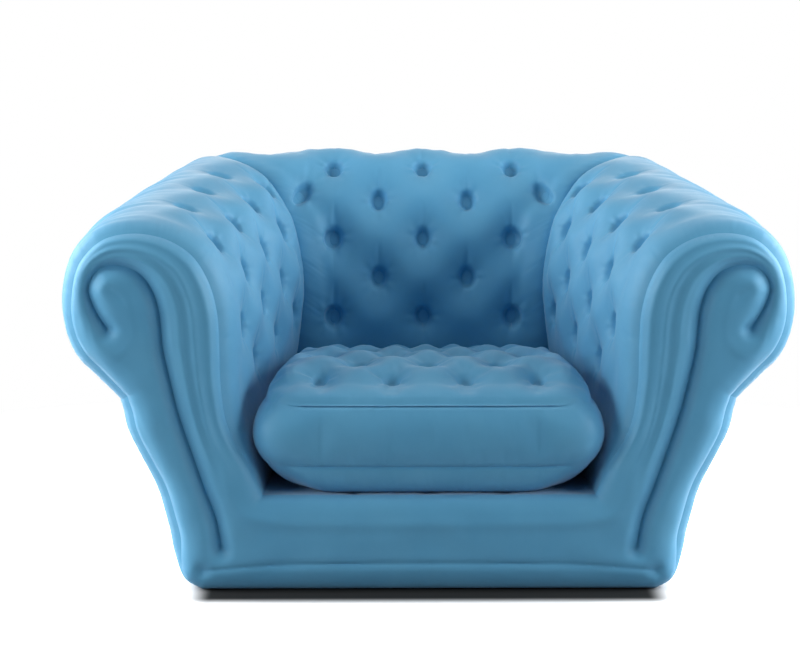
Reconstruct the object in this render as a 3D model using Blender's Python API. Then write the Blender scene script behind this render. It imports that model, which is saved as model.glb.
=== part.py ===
"""An inflatable outdoor armchair with rolled arms, a tufted back and a loose tufted cushion.

The chair's skin and the cushion's skin are each one closed surface, cut into welded panels.
Every panel is a thin wall with a seam gap to its neighbours. Cross webs inside hold the
panels in shape, and a screw valve fills each of the two air chambers.
Metres. X runs to the viewer's right, the front faces -Y and +Z is up. The origin lies on
the floor, under the middle of the chair.
"""

import math

import bmesh
import bpy
import numpy as np
from mathutils import Vector
from mathutils.geometry import delaunay_2d_cdt

# Overall sizes
WIDTH = 1.45
DEPTH = 0.98
BACK_HEIGHT = 0.824
ARM_FRONT_HEIGHT = 0.741
CORNER_HEIGHT = 0.814

# Sheet material
WALL = 0.0009
SEAM_GAP = 0.0003
WEB_WALL = 0.0009
WEB_GAP = 0.0009
CORNER_WEB_GAP = 0.0024

# Seat well and base
DECK_HEIGHT = 0.19
WELL_FRONT_HALF = 0.331
WELL_REAR_HALF = 0.300
WELL_REAR_Y = 0.245
ARM_FOOT_HALF = 0.452
ARM_NECK_HALF = 0.618
ARM_NECK_DROP = 0.034
BACK_FACE_Y = 0.240
BACK_NECK_Y = 0.420
BACK_NECK_HEIGHT = 0.410
BACK_FOOT_Y = 0.352
CORNER_REACH_HALF = 0.665
CORNER_NECK_HALF = 0.600
CORNER_FOOT_HALF = 0.440
MITRE_SLOPE = 0.60

# Front face
FRONT_BULGE = 0.030
FRONT_ROUND = 0.050
FACE_GRID = 0.055
FACE_GRID_RISE_SHARE = 0.87
FACE_INSET_SHARE = 0.28
FACE_CLEAR_SHARE = 0.75
RAIL_FOOT_HALF = 0.365
RAIL_BOW = 0.012

# Tufting, in rows up the surface and stations along it
TUFT_DEPTH = 0.016
PUFF = 0.006
ARM_FIRST_TUFT_ARC = 0.219
BACK_FIRST_TUFT_ARC = 0.264
CORNER_FIRST_TUFT_ARC = 0.302
ARM_PITCH = 0.180
BACK_PITCH = 0.200
STEPS_PER_PITCH = 4
FIRST_TUFT_ROW = 5
LAST_EVEN_ROW = 17
NECK_ROW = 24
FLOOR_ROW = 33
EVEN_ROWS_SHARE = 0.607
ARM_STRAIGHT = 13
ARM_FAN = 4
BACK_STRAIGHT = 4
BACK_FAN = 4
ARM_TUFT_STATION = 3
ARM_TUFT_ROW = 11
ARM_LAST_TUFT_ROW = 13
BACK_LAST_TUFT_ROW = 15
TUFT_FADE_ROWS = (1.6, 2)
TUFT_FADE_STATIONS = (1, 2.5)
SEAM_FADE_ROWS = (4, 3)

# How long the arm and the back keep their own section before they turn into the corner's
ARM_HOLD = 0.78
BACK_BASE_HOLD = 1.4
BACK_HOLD = 0.8
HOLD_ROWS = (11, 17)

# Drawn-in seams
FRONT_PINCH = 0.024
FRONT_PINCH_REACH = 0.055
CORNER_PINCH = 0.022
CORNER_PINCH_REACH = 0.060
TUFT_FADE_START = 0.020
TUFT_FADE_END = 0.080

# Cross webs
WEB_STATIONS = (3, 7, 11)
AIR_HOLE_RADIUS = 0.040
BEAM_HOLE_RADIUS = 0.045
BEAM_SPACING = 0.150
BEAM_END_GAP = 0.020
BEAM_HOLE_SHARES = (0.2, 0.5, 0.8)
ROLL_HOLE_ROWS = (9, 24)
FLANK_HOLE_ROWS = (3, 28)

# Cushion
CUSHION_FRONT_Y = -0.475
CUSHION_REAR_Y = 0.200
CUSHION_FRONT_HALF = 0.341
CUSHION_REAR_HALF = 0.264
CUSHION_BASE_SEAM = 0.056
CUSHION_TOP_SEAM = 0.182
CUSHION_CROWN = 0.064
CUSHION_CROWN_REACH = 0.075
CUSHION_BULGE = 0.014
CUSHION_ROLL_IN = 0.045
CUSHION_ROLL_SHARES = (0.35, 0.30)
CUSHION_CORNER_POWER = 6.5
CUSHION_CORNER_POWER_RISE = 1.5
CUSHION_TUFT_DEPTH = 0.013
CUSHION_PUFF = 0.004
CUSHION_COLUMNS = 18
CUSHION_ROWS = 16
CUSHION_FIRST_TUFT_COLUMN = 2
CUSHION_FIRST_TUFT_ROW = 2
CUSHION_TUFT_COLUMN_FADE = (0.5, 2)
CUSHION_TUFT_ROW_FADE = (0.5, 2)
CUSHION_BEAM_ROWS = (4, 8, 12)
CUSHION_BEAM_GAP = 0.0012
CUSHION_BEAM_END_COLUMN = 3
CUSHION_REST_GAP = 0.0003
CUSHION_FLAT_HALF = 0.060
CUSHION_FLAT_FADE = 0.140
# The crown's height from the front seam to the rear one, as shares of the depth and the crown
CUSHION_CROWN_SHARES = (
    (0, 0), (0.022, 0.300), (0.052, 0.445), (0.081, 0.547), (0.141, 0.797), (0.200, 0.945),
    (0.333, 1), (0.481, 0.9375), (0.630, 0.790), (0.778, 0.5625), (0.852, 0.447),
    (0.926, 0.281), (1, 0),
)

# Valve, along its own axis from the panel's outer face
VALVE_SEGMENTS = 24
VALVE_HOLE_RADIUS = 0.0208
VALVE_FIT = 0.0003
VALVE_FLANGE_RADIUS = 0.034
VALVE_FLANGE_WALL = 0.0012
NECK_RADIUS = 0.0205
NECK_BORE = 0.0170
NECK_HEIGHT = 0.0040
NECK_DEPTH = 0.0100
SEAL_WALL = 0.0010
PLUG_RADIUS = 0.0167
PLUG_BORE = 0.0125
PLUG_FLANGE_RADIUS = 0.0228
PLUG_FLANGE_WALL = 0.0014
PLUG_DEPTH = 0.0120
PLUG_NECK_RADIUS = 0.0155
PLUG_NECK_HEIGHT = 0.0036
CAP_SKIRT_WALL = 0.0034
CAP_DISC_WALL = 0.0014
CAP_STEM_RADIUS = 0.0060
CAP_KNOB_RADIUS = 0.0110
CAP_KNOB_WALL = 0.0018
THREAD_PITCH = 0.0020
CAP_TURNS = 1.5
TETHER_WALL = 0.0012
TETHER_WIDTH = 0.0070
FLAP_RADIUS = 0.0146
FLAP_WALL = 0.0011
BODY_VALVE_X = 0.100
BODY_VALVE_HEIGHT = 0.190

# Cross sections, as shares across and up. Inner shares run from the seat deck over the crown,
# between the well and the roll's reach. Outer shares run on down to the neck, between the neck
# and the roll's reach. Flank shares run from the neck, at 1, to the floor, at 0
ARM_INNER_SHARES = (
    (0, 0), (0.053, 0.126), (0.112, 0.252), (0.142, 0.414), (0.150, 0.559), (0.163, 0.685),
    (0.202, 0.793), (0.294, 0.901), (0.454, 0.978), (0.645, 1), (0.822, 0.969),
)
ARM_OUTER_SHARES = ((0.794, 0.822), (1, 0.604), (0.970, 0.399), (0.768, 0.248), (0.345, 0.110))
ARM_FLANK_SHARES = (
    (1, 1), (0.898, 0.840), (0.711, 0.665), (0.548, 0.521), (0.422, 0.319), (0.349, 0.160),
    (0.229, 0.048), (0, 0),
)
CORNER_INNER_SHARES = (
    (0, 0), (-0.026, 0.125), (-0.056, 0.266), (-0.100, 0.422), (-0.118, 0.547),
    (-0.091, 0.688), (-0.022, 0.820), (0.094, 0.922), (0.269, 0.984), (0.511, 1), (0.739, 0.903),
)
CORNER_OUTER_SHARES = ((0.517, 0.693), (1, 0.544), (0.989, 0.398), (0.742, 0.259), (0.292, 0.120))
CORNER_FLANK_SHARES = (
    (1, 1), (0.894, 0.829), (0.719, 0.646), (0.5625, 0.488), (0.425, 0.305), (0.344, 0.151),
    (0.219, 0.044), (0, 0),
)
BACK_INNER_SHARES = (
    (0, 0), (-0.024, 0.172), (-0.040, 0.359), (-0.008, 0.516), (0.064, 0.672), (0.176, 0.8125),
    (0.328, 0.922), (0.500, 0.984), (0.660, 1), (0.840, 0.972),
)
BACK_OUTER_SHARES = ((0.857, 0.843), (1, 0.688), (0.886, 0.495), (0.600, 0.303), (0.286, 0.134))
BACK_FLAT_SHARE = 0.840
BACK_FLANK_SHARES = (
    (1, 1), (0.900, 0.860), (BACK_FLAT_SHARE, 0.756), (BACK_FLAT_SHARE, 0.610),
    (BACK_FLAT_SHARE, 0.463), (BACK_FLAT_SHARE, 0.317), (BACK_FLAT_SHARE, 0.171),
    (0.720, 0.073), (0.450, 0.020), (0, 0),
)
RAIL_LEVEL_SHARES = (0, 0.10, 0.35, 0.65, 0.90, 1)
RAIL_COLUMNS = 10
FACING_FLOOR_STEPS = 3

# Colours of the sheet and the valve mouldings
VINYL_BLUE = (0.150, 0.375, 0.600, 1)
WEB_BLUE = (0.220, 0.440, 0.640, 1)
VALVE_BLUE = (0.120, 0.310, 0.520, 1)
SEAL_GREY = (0.080, 0.090, 0.100, 1)
VINYL_ROUGHNESS = 0.55
MOULDED_ROUGHNESS = 0.40

# Modelling
MERGE = 0.000001
LEAST_AREA = MERGE * WALL
HOLE_SIDES = 10
SAMPLES_PER_SPAN = 24
NORMAL_STEP = 0.01
LEAST_FACING = 0.60
LEAST_SQUARE = 0.50
LEAST_TURN = 0.05
SHEET_SMOOTH_ANGLE = math.radians(50)
MOULDED_SMOOTH_ANGLE = math.radians(40)
FRONT_SEAM_Y = FRONT_BULGE - DEPTH / 2
ARM_MITRE = ARM_STRAIGHT + ARM_FAN
BACK_MITRE = BACK_STRAIGHT + BACK_FAN


def smooth_step(low, high, value):
    share = np.clip((value - low) / (high - low), 0, 1)
    return share * share * (3 - 2 * share)


def unit(vectors):
    return vectors / np.linalg.norm(vectors, axis=-1, keepdims=True)


def draw_in(depth, reach, distance):
    """How far a seam pulls the sheet in, at this distance from it: a quarter ellipse."""
    share = np.clip(1 - distance / reach, 0, 1)
    return depth * (1 - np.sqrt(1 - share * share))


# Cross sections


def placed(shares, start, end, low, high):
    return [(start + across * (end - start), low + up * (high - low)) for across, up in shares]


class Section:
    """A smooth cross section, read by row from the seat deck (0) to the floor."""

    def __init__(self, shares, start, reach, top, neck, foot, first_tuft_arc):
        inner, outer, flank = shares
        neck_out, neck_height = neck
        roll = placed(inner, start, reach, DECK_HEIGHT, top)
        roll += placed(outer, neck_out, reach, neck_height, top)
        controls = np.array([*roll, *placed(flank, foot, neck_out, 0, neck_height)], float)
        lengths = np.linalg.norm(np.diff(controls, axis=0), axis=1)
        knots = np.concatenate([[0], np.cumsum(lengths)])
        slopes = np.gradient(controls, knots, axis=0)
        share = np.linspace(0, 1, SAMPLES_PER_SPAN, endpoint=False)[:, None]
        curve = []
        for i, length in enumerate(lengths):
            curve.append(
                (2 * share**3 - 3 * share**2 + 1) * controls[i]
                + (share**3 - 2 * share**2 + share) * length * slopes[i]
                + (3 * share**2 - 2 * share**3) * controls[i + 1]
                + (share**3 - share**2) * length * slopes[i + 1]
            )
        self.curve = np.vstack([*curve, controls[-1:]])
        steps = np.linalg.norm(np.diff(self.curve, axis=0), axis=1)
        self.arcs = np.concatenate([[0], np.cumsum(steps)])
        neck = self.arcs[len(roll) * SAMPLES_PER_SPAN]
        last_even = first_tuft_arc + (neck - first_tuft_arc) * EVEN_ROWS_SHARE
        self.row_marks = (0, FIRST_TUFT_ROW, LAST_EVEN_ROW, NECK_ROW, FLOOR_ROW)
        self.arc_marks = (0, first_tuft_arc, last_even, neck, self.arcs[-1])

    def at(self, row):
        arc = np.interp(row, self.row_marks, self.arc_marks)
        across = np.interp(arc, self.arcs, self.curve[:, 0])
        up = np.interp(arc, self.arcs, self.curve[:, 1])
        return across, up


ARM_SECTION = Section(
    (ARM_INNER_SHARES, ARM_OUTER_SHARES, ARM_FLANK_SHARES),
    WELL_FRONT_HALF,
    WIDTH / 2,
    ARM_FRONT_HEIGHT - PUFF,
    (ARM_NECK_HALF, BACK_NECK_HEIGHT - ARM_NECK_DROP),
    ARM_FOOT_HALF,
    ARM_FIRST_TUFT_ARC,
)
CORNER_SECTION = Section(
    (CORNER_INNER_SHARES, CORNER_OUTER_SHARES, CORNER_FLANK_SHARES),
    WELL_REAR_HALF,
    CORNER_REACH_HALF,
    CORNER_HEIGHT,
    (CORNER_NECK_HALF, BACK_NECK_HEIGHT),
    CORNER_FOOT_HALF,
    CORNER_FIRST_TUFT_ARC,
)
BACK_SECTION = Section(
    (BACK_INNER_SHARES, BACK_OUTER_SHARES, BACK_FLANK_SHARES),
    BACK_FACE_Y,
    DEPTH / 2,
    BACK_HEIGHT - PUFF,
    (BACK_NECK_Y, BACK_NECK_HEIGHT),
    BACK_FOOT_Y,
    BACK_FIRST_TUFT_ARC,
)


# Surfaces of the arm and the back


def mitre_y(across):
    return WELL_REAR_Y + MITRE_SLOPE * (across - WELL_REAR_HALF)


def arm_base(station, row):
    """The right arm without tufts. Stations run back from the front seam to the mitre."""
    front_x, front_z = ARM_SECTION.at(row)
    rear_x, rear_z = CORNER_SECTION.at(row)
    rear_y = mitre_y(rear_x)
    step = ARM_PITCH / STEPS_PER_PITCH
    straight_y = FRONT_SEAM_Y + step * np.minimum(station, ARM_STRAIGHT)
    fan = np.maximum(station - ARM_STRAIGHT, 0) / ARM_FAN
    y = straight_y + (rear_y - straight_y) * fan
    share = (y - FRONT_SEAM_Y) / (rear_y - FRONT_SEAM_Y)
    power = 1 + ARM_HOLD * smooth_step(*HOLD_ROWS, row)
    x = front_x + (rear_x - front_x) * np.maximum(share, 0) ** power
    z = front_z + (rear_z - front_z) * share
    return np.stack([x, y, z], axis=-1)


def back_base(station, row):
    """The back without tufts. Stations run from the left mitre to the right one, with 0 between."""
    y, z = BACK_SECTION.at(row)
    rear_x, rear_z = CORNER_SECTION.at(row)
    step = BACK_PITCH / STEPS_PER_PITCH
    side = np.sign(station)
    straight_x = step * np.minimum(np.abs(station), BACK_STRAIGHT)
    fan = np.maximum(np.abs(station) - BACK_STRAIGHT, 0) / BACK_FAN
    x = straight_x + (rear_x - straight_x) * fan
    power = BACK_BASE_HOLD + BACK_HOLD * smooth_step(*HOLD_ROWS, row)
    y = y + (mitre_y(rear_x) - y) * fan**power
    z = z + (rear_z - z) * fan**power
    return np.stack([side * x, y, z], axis=-1)


def surface_normal(base, station, row, turn):
    along = base(station + NORMAL_STEP, row) - base(station - NORMAL_STEP, row)
    low = np.maximum(row - NORMAL_STEP, 0)
    high = np.minimum(row + NORMAL_STEP, FLOOR_ROW)
    return unit(turn * np.cross(along, base(station, high) - base(station, low)))


def corner_normal(row):
    """The way out of the corner section, in the plane of the mitre."""
    low_x, low_z = CORNER_SECTION.at(np.maximum(row - NORMAL_STEP, 0))
    high_x, high_z = CORNER_SECTION.at(np.minimum(row + NORMAL_STEP, FLOOR_ROW))
    stretch = math.hypot(1, MITRE_SLOPE)
    across = (high_x - low_x) * stretch
    up = high_z - low_z
    out = unit(np.stack([-up, across], axis=-1))
    x = out[..., 0] / stretch
    return np.stack([x, x * MITRE_SLOPE, out[..., 1]], axis=-1)


def seam_window(row):
    """1 over the free surface, falling to 0 at the deck and at the floor."""
    low, high = SEAM_FADE_ROWS
    return smooth_step(0, low, row) * (1 - smooth_step(FLOOR_ROW - high, FLOOR_ROW, row))


def tuft_height(pattern, depth, puff):
    """Pattern is 1 on a tuft and -1 midway between tufts."""
    return -puff * pattern - (depth - puff) * np.maximum(pattern, 0) ** 4


def tuft_rows(row, last):
    """1 over the tufted rows, falling to 0 below the first and past the last of them."""
    low, high = TUFT_FADE_ROWS
    start = smooth_step(FIRST_TUFT_ROW - low, FIRST_TUFT_ROW, row)
    return start * (1 - smooth_step(last, last + high, row))


def arm_surface(station, row):
    station = np.asarray(station, float)
    row = np.asarray(row, float)
    point = arm_base(station, row)
    normal = surface_normal(arm_base, station, row, -1)
    to_front = point[..., 1] - FRONT_SEAM_Y
    to_corner = mitre_y(CORNER_SECTION.at(row)[0]) - point[..., 1]
    quarter = math.tau / STEPS_PER_PITCH
    pattern = np.cos(quarter * (station - ARM_TUFT_STATION)) * np.cos(
        quarter * (row - ARM_TUFT_ROW)
    )
    window = tuft_rows(row, ARM_LAST_TUFT_ROW) * smooth_step(*TUFT_FADE_STATIONS, station)
    window = window * smooth_step(TUFT_FADE_START, TUFT_FADE_END, to_corner)
    height = window * tuft_height(pattern, TUFT_DEPTH, PUFF)
    flat = unit(normal * (1, 0, 1))
    front = seam_window(row) * draw_in(FRONT_PINCH, FRONT_PINCH_REACH, to_front)
    corner = seam_window(row) * draw_in(CORNER_PINCH, CORNER_PINCH_REACH, to_corner)
    return (
        point
        + height[..., None] * normal
        - front[..., None] * flat
        - corner[..., None] * corner_normal(row)
    )


def back_surface(station, row):
    station = np.asarray(station, float)
    row = np.asarray(row, float)
    point = back_base(station, row)
    normal = surface_normal(back_base, station, row, 1)
    to_corner = CORNER_SECTION.at(row)[0] - np.abs(point[..., 0])
    quarter = math.tau / STEPS_PER_PITCH
    pattern = np.cos(quarter * station) * np.cos(quarter * (row - FIRST_TUFT_ROW))
    window = tuft_rows(row, BACK_LAST_TUFT_ROW)
    window = window * smooth_step(TUFT_FADE_START, TUFT_FADE_END, to_corner)
    height = window * tuft_height(pattern, TUFT_DEPTH, PUFF)
    corner = seam_window(row) * draw_in(CORNER_PINCH, CORNER_PINCH_REACH, to_corner)
    side = np.stack([np.sign(station), np.ones_like(station), np.ones_like(station)], axis=-1)
    return (
        point + height[..., None] * normal - corner[..., None] * side * corner_normal(row)
    )


# Skins and the panels cut from them


class Skin:
    """A closed surface of triangles, each belonging to one welded panel."""

    def __init__(self):
        self.points = []
        self.index = {}
        self.faces = []
        self.panels = []

    def vertex(self, point):
        key = tuple(int(round(float(c) / MERGE)) for c in point)
        if key not in self.index:
            self.index[key] = len(self.points)
            self.points.append(np.array(point, float))
        return self.index[key]

    def add_triangle(self, panel, corners):
        a, b, c = corners
        if np.linalg.norm(np.cross(b - a, c - a)) > LEAST_AREA:
            self.faces.append([self.vertex(corner) for corner in corners])
            self.panels.append(panel)

    def add_grid(self, panel, grid, flip=False, phase=0):
        """Splits the cells by turns, so that the four cells round a tuft leave it a diamond."""
        for i in range(len(grid) - 1):
            for j in range(len(grid[0]) - 1):
                a, b, c, d = grid[i][j], grid[i][j + 1], grid[i + 1][j + 1], grid[i + 1][j]
                if (i + j + phase) % 2:
                    halves = ((a, b, c), (a, c, d))
                else:
                    halves = ((a, b, d), (b, c, d))
                for half in halves:
                    self.add_triangle(panel, half[::-1] if flip else half)

    def finish(self):
        """Works out the inward offset of each vertex, shared by the panels that meet there."""
        self.points = np.array(self.points)
        corners = self.points[np.array(self.faces)]
        self.normals = unit(np.cross(corners[:, 1] - corners[:, 0], corners[:, 2] - corners[:, 0]))
        total = np.zeros_like(self.points)
        around = [[] for _ in self.points]
        for face, normal, corner in zip(self.faces, self.normals, corners):
            for k in range(3):
                one = unit(corner[(k + 1) % 3] - corner[k])
                two = unit(corner[(k + 2) % 3] - corner[k])
                angle = math.acos(float(np.clip(one @ two, -1, 1)))
                total[face[k]] += angle * normal
                around[face[k]].append(normal)
        self.inward = -unit(total)
        for i, normals in enumerate(around):
            facing = min(float(-self.inward[i] @ normal) for normal in normals)
            self.inward[i] *= WALL / max(facing, LEAST_FACING)

    def panel(self, name, material):
        """Makes one panel: its outer faces, the same faces a wall further in, and a rim."""
        faces = [face for face, panel in zip(self.faces, self.panels) if panel == name]
        edges = {(face[k], face[(k + 1) % 3]) for face in faces for k in range(3)}
        rim = [(a, b) for a, b in edges if (b, a) not in edges]
        shifted = self.trimmed(faces, rim)
        used = sorted({i for face in faces for i in face})
        outer = [shifted.get(i, self.points[i]) for i in used]
        inner = [point + self.inward[i] for point, i in zip(outer, used)]
        place = {i: k for k, i in enumerate(used)}
        count = len(used)
        cells = [[place[i] for i in face] for face in faces]
        cells += [[place[i] + count for i in reversed(face)] for face in faces]
        for a, b in sorted(rim):
            cells.append([place[b], place[a], place[a] + count, place[b] + count])
        return add_mesh(name, outer + inner, cells, material)

    def trimmed(self, faces, rim):
        """Moves the rim's vertices into the panel, by half the seam gap square to the rim."""
        toward = {}
        for face in faces:
            middle = self.points[face].mean(axis=0)
            for i in face:
                toward.setdefault(i, []).append(unit(middle - self.points[i]))
        along = {}
        for a, b in rim:
            direction = unit(self.points[b] - self.points[a])
            along.setdefault(a, []).append(direction)
            along.setdefault(b, []).append(direction)
        shifted = {}
        for i, directions in along.items():
            normal = unit(self.inward[i])
            inward = np.sum(toward[i], axis=0)
            inward = unit(inward - (inward @ normal) * normal)
            square = min(np.linalg.norm(np.cross(inward, d)) for d in directions)
            shifted[i] = self.points[i] + inward * SEAM_GAP / 2 / max(square, LEAST_SQUARE)
        return shifted


def add_mesh(name, points, faces, material, smooth=True):
    mesh = bpy.data.meshes.new(name)
    mesh.from_pydata([tuple(map(float, point)) for point in points], [], faces)
    mesh.materials.append(material)
    obj = bpy.data.objects.new(name, mesh)
    bpy.context.scene.collection.objects.link(obj)
    if smooth:
        mesh.shade_smooth()
        mesh.set_sharp_from_angle(angle=SHEET_SMOOTH_ANGLE)
    return obj


# Flat outlines


def inside(points, outline):
    """True for each point that lies inside the closed outline."""
    points = np.asarray(points, float)
    x, y = points[:, 0], points[:, 1]
    found = np.zeros(len(points), bool)
    for (ax, ay), (bx, by) in zip(outline, np.roll(outline, -1, axis=0)):
        crosses = (ay > y) != (by > y)
        found ^= crosses & (x < ax + (y - ay) * (bx - ax) / np.where(by == ay, 1, by - ay))
    return found


def outline_distance(points, outline, closed=True):
    """The distance of each point from the outline."""
    points = np.asarray(points, float)
    ends = np.roll(outline, -1, axis=0) if closed else outline[1:]
    starts = outline if closed else outline[:-1]
    best = np.full(len(points), np.inf)
    for a, b in zip(starts, ends):
        run = b - a
        share = np.clip((points - a) @ run / (run @ run), 0, 1)
        best = np.minimum(best, np.linalg.norm(points - a - share[:, None] * run, axis=1))
    return best


def inset(outline, distances):
    """Moves each side of an anticlockwise outline inward by its own distance."""
    outline = np.asarray(outline, float)
    moved = []
    for i, corner in enumerate(outline):
        before = unit(corner - outline[i - 1])
        after = unit(outline[(i + 1) % len(outline)] - corner)
        normals = np.array([(-before[1], before[0]), (-after[1], after[0])])
        offsets = np.array([distances[i - 1], distances[i]])
        if abs(np.linalg.det(normals)) > LEAST_TURN:
            moved.append(corner + np.linalg.solve(normals, offsets))
        else:
            moved.append(corner + unit(normals.sum(axis=0)) * offsets.max())
    return np.array(moved)


def fill(points, outlines):
    """Triangles over the area inside the first outline and outside the others."""
    edges = []
    for outline in outlines:
        edges += [(outline[i - 1], outline[i]) for i in range(len(outline))]
    flat = [Vector((float(x), float(y))) for x, y in points]
    result = delaunay_2d_cdt(flat, edges, [], 0, MERGE / 10)
    origin = [found[0] for found in result[3]]
    faces = [[origin[i] for i in face] for face in result[2]]
    points = np.asarray(points, float)
    middles = points[np.array(faces)].mean(axis=1)
    keep = inside(middles, points[outlines[0]])
    for hole in outlines[1:]:
        keep &= ~inside(middles, points[hole])
    return [face for face, kept in zip(faces, keep) if kept]


def ring(center, radius, count):
    angles = [math.tau * k / count for k in range(count)]
    return [(center[0] + radius * math.cos(a), center[1] + radius * math.sin(a)) for a in angles]


def web(name, outline, holes, place, across, material):
    """A flat web with air holes. Place maps the outline's plane to the chair."""
    points = [tuple(point) for point in outline]
    loops = [list(range(len(points)))]
    for center, radius in holes:
        loops.append(list(range(len(points), len(points) + HOLE_SIDES)))
        points += ring(center, radius, HOLE_SIDES)
    faces = fill(points, loops)
    half = np.array(across, float) * WEB_WALL / 2
    middle = [np.array(place(a, b), float) for a, b in points]
    near = [point - half for point in middle]
    far = [point + half for point in middle]
    count = len(points)
    cells = [list(face) for face in faces]
    cells += [[i + count for i in reversed(face)] for face in faces]
    edges = {(face[k], face[(k + 1) % 3]) for face in faces for k in range(3)}
    for a, b in sorted(edges):
        if (b, a) not in edges:
            cells.append([b, a, a + count, b + count])
    obj = add_mesh(name, near + far, cells, material, smooth=False)
    face_out(obj)
    return obj


def face_out(obj):
    """Turns every face of a closed mesh outward."""
    shape = bmesh.new()
    shape.from_mesh(obj.data)
    bmesh.ops.recalc_face_normals(shape, faces=shape.faces)
    shape.to_mesh(obj.data)
    shape.free()


# The chair's skin


def mirrored(points):
    return np.asarray(points) * (-1, 1, 1)


def front_outline():
    """The edge of the front face: both arms' front seams, the floor and the seat's front edge."""
    right = arm_surface(np.zeros(FLOOR_ROW + 1), np.arange(FLOOR_ROW + 1))[:, [0, 2]]
    left = right * (-1, 1)
    return np.vstack([right, left[::-1]])


def front_point(x, z, outline):
    """A point on the bulging front face."""
    distance = outline_distance([(x, z)], outline)[0]
    y = FRONT_SEAM_Y - FRONT_BULGE + draw_in(FRONT_BULGE, FRONT_ROUND, distance)
    return np.array((x, y, z), float)


def rail_edge(share):
    """A point on the bowed seam between the rail and the right facing, from the floor up."""
    straight = RAIL_FOOT_HALF + (WELL_FRONT_HALF - RAIL_FOOT_HALF) * share
    return straight + RAIL_BOW * 4 * share * (1 - share), DECK_HEIGHT * share


def facing_floor():
    """The places across of the vertices on the right facing's floor edge, ends left out."""
    return np.linspace(RAIL_FOOT_HALF, ARM_FOOT_HALF, FACING_FLOOR_STEPS + 1)[1:-1]


def add_facing(skin, outline):
    """The arm's front panel, on the right and mirrored on the left."""
    seam = arm_surface(np.zeros(FLOOR_ROW + 1), np.arange(FLOOR_ROW + 1))[:, [0, 2]]
    floor = [(x, 0) for x in facing_floor()[::-1]]
    rail = [rail_edge(share) for share in RAIL_LEVEL_SHARES[:-1]]
    edge = np.array([*map(tuple, seam), *floor, *rail])[::-1]
    inner = inset(edge, [FRONT_ROUND * FACE_INSET_SHARE] * len(edge))
    low, high = edge.min(axis=0), edge.max(axis=0)
    rows = int((high[1] - low[1]) / (FACE_GRID * FACE_GRID_RISE_SHARE)) + 1
    columns = int((high[0] - low[0]) / FACE_GRID) + 2
    grid = [
        (low[0] + (i + 0.5 * (j % 2)) * FACE_GRID, low[1] + j * FACE_GRID * FACE_GRID_RISE_SHARE)
        for j in range(rows)
        for i in range(columns)
    ]
    away = outline_distance(grid, edge) > FRONT_ROUND * FACE_CLEAR_SHARE
    grid = [point for point, kept in zip(grid, inside(grid, edge) & away) if kept]
    points = [*map(tuple, edge), *map(tuple, inner), *grid]
    places = [front_point(x, z, outline) for x, z in points]
    for face in fill(points, [list(range(len(edge)))]):
        corners = [places[i] for i in face]
        skin.add_triangle("facing_right", corners)
        skin.add_triangle("facing_left", [mirrored(corner) for corner in reversed(corners)])


def rail_grid(outline):
    grid = []
    for share in RAIL_LEVEL_SHARES:
        half, z = rail_edge(share)
        shares = np.linspace(-1, 1, RAIL_COLUMNS + 1)
        grid.append([front_point(half * s, z, outline) for s in shares])
    return grid


def add_flat(skin, panel, loop, flip):
    """A level panel over a closed loop of points."""
    for face in fill([(x, y) for x, y, _ in loop], [list(range(len(loop)))]):
        corners = [loop[i] for i in face]
        skin.add_triangle(panel, corners[::-1] if flip else corners)


def level_loop(front, row):
    """The edge of a level panel, anticlockwise: its front points, then one row of the skin."""
    arm = arm_surface(np.arange(ARM_MITRE + 1), np.full(ARM_MITRE + 1, row))
    stations = np.arange(-BACK_MITRE, BACK_MITRE + 1)
    back = back_surface(stations, np.full(len(stations), row))
    return [*front, *arm, *back[::-1][1:-1], *mirrored(arm)[::-1]]


def chair_skin():
    skin = Skin()
    arm_stations = np.arange(ARM_MITRE + 1)
    back_stations = np.arange(-BACK_MITRE, BACK_MITRE + 1)
    for panel, first, last in (("tufted", 0, NECK_ROW), ("outer", NECK_ROW, FLOOR_ROW)):
        rows = np.arange(first, last + 1)
        arm = arm_surface(*np.meshgrid(arm_stations, rows))
        back = back_surface(*np.meshgrid(back_stations, rows))
        skin.add_grid(f"arm_right_{panel}_panel", arm, flip=True)
        skin.add_grid(f"arm_left_{panel}_panel", mirrored(arm))
        skin.add_grid(f"back_{panel}_panel", back, phase=1)
    outline = front_outline()
    add_facing(skin, outline)
    rail = rail_grid(outline)
    skin.add_grid("front_rail_panel", rail)
    side = [np.array((x, FRONT_SEAM_Y, 0)) for x in facing_floor()]
    floor = [mirrored(point) for point in reversed(side)] + rail[0] + side
    add_flat(skin, "seat_deck_panel", level_loop(rail[-1][1:-1], 0), flip=False)
    add_flat(skin, "base_panel", level_loop(floor, FLOOR_ROW), flip=True)
    skin.finish()
    return skin


# Webs inside the chair


def section_web(name, outline, gap, place, across, material):
    """A web that fills a cross section, from the deck seam over the roll to the floor."""
    loop = np.array([(outline[0][0], 0), *outline[::-1]])
    loop = inset(loop, [WALL + gap] * len(loop))
    roll = np.mean(outline[slice(*ROLL_HOLE_ROWS)], axis=0)
    flank = np.mean([outline[row] for row in FLANK_HOLE_ROWS], axis=0)
    holes = ((roll, AIR_HOLE_RADIUS), (flank, AIR_HOLE_RADIUS))
    return web(name, loop, holes, place, across, material)


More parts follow.
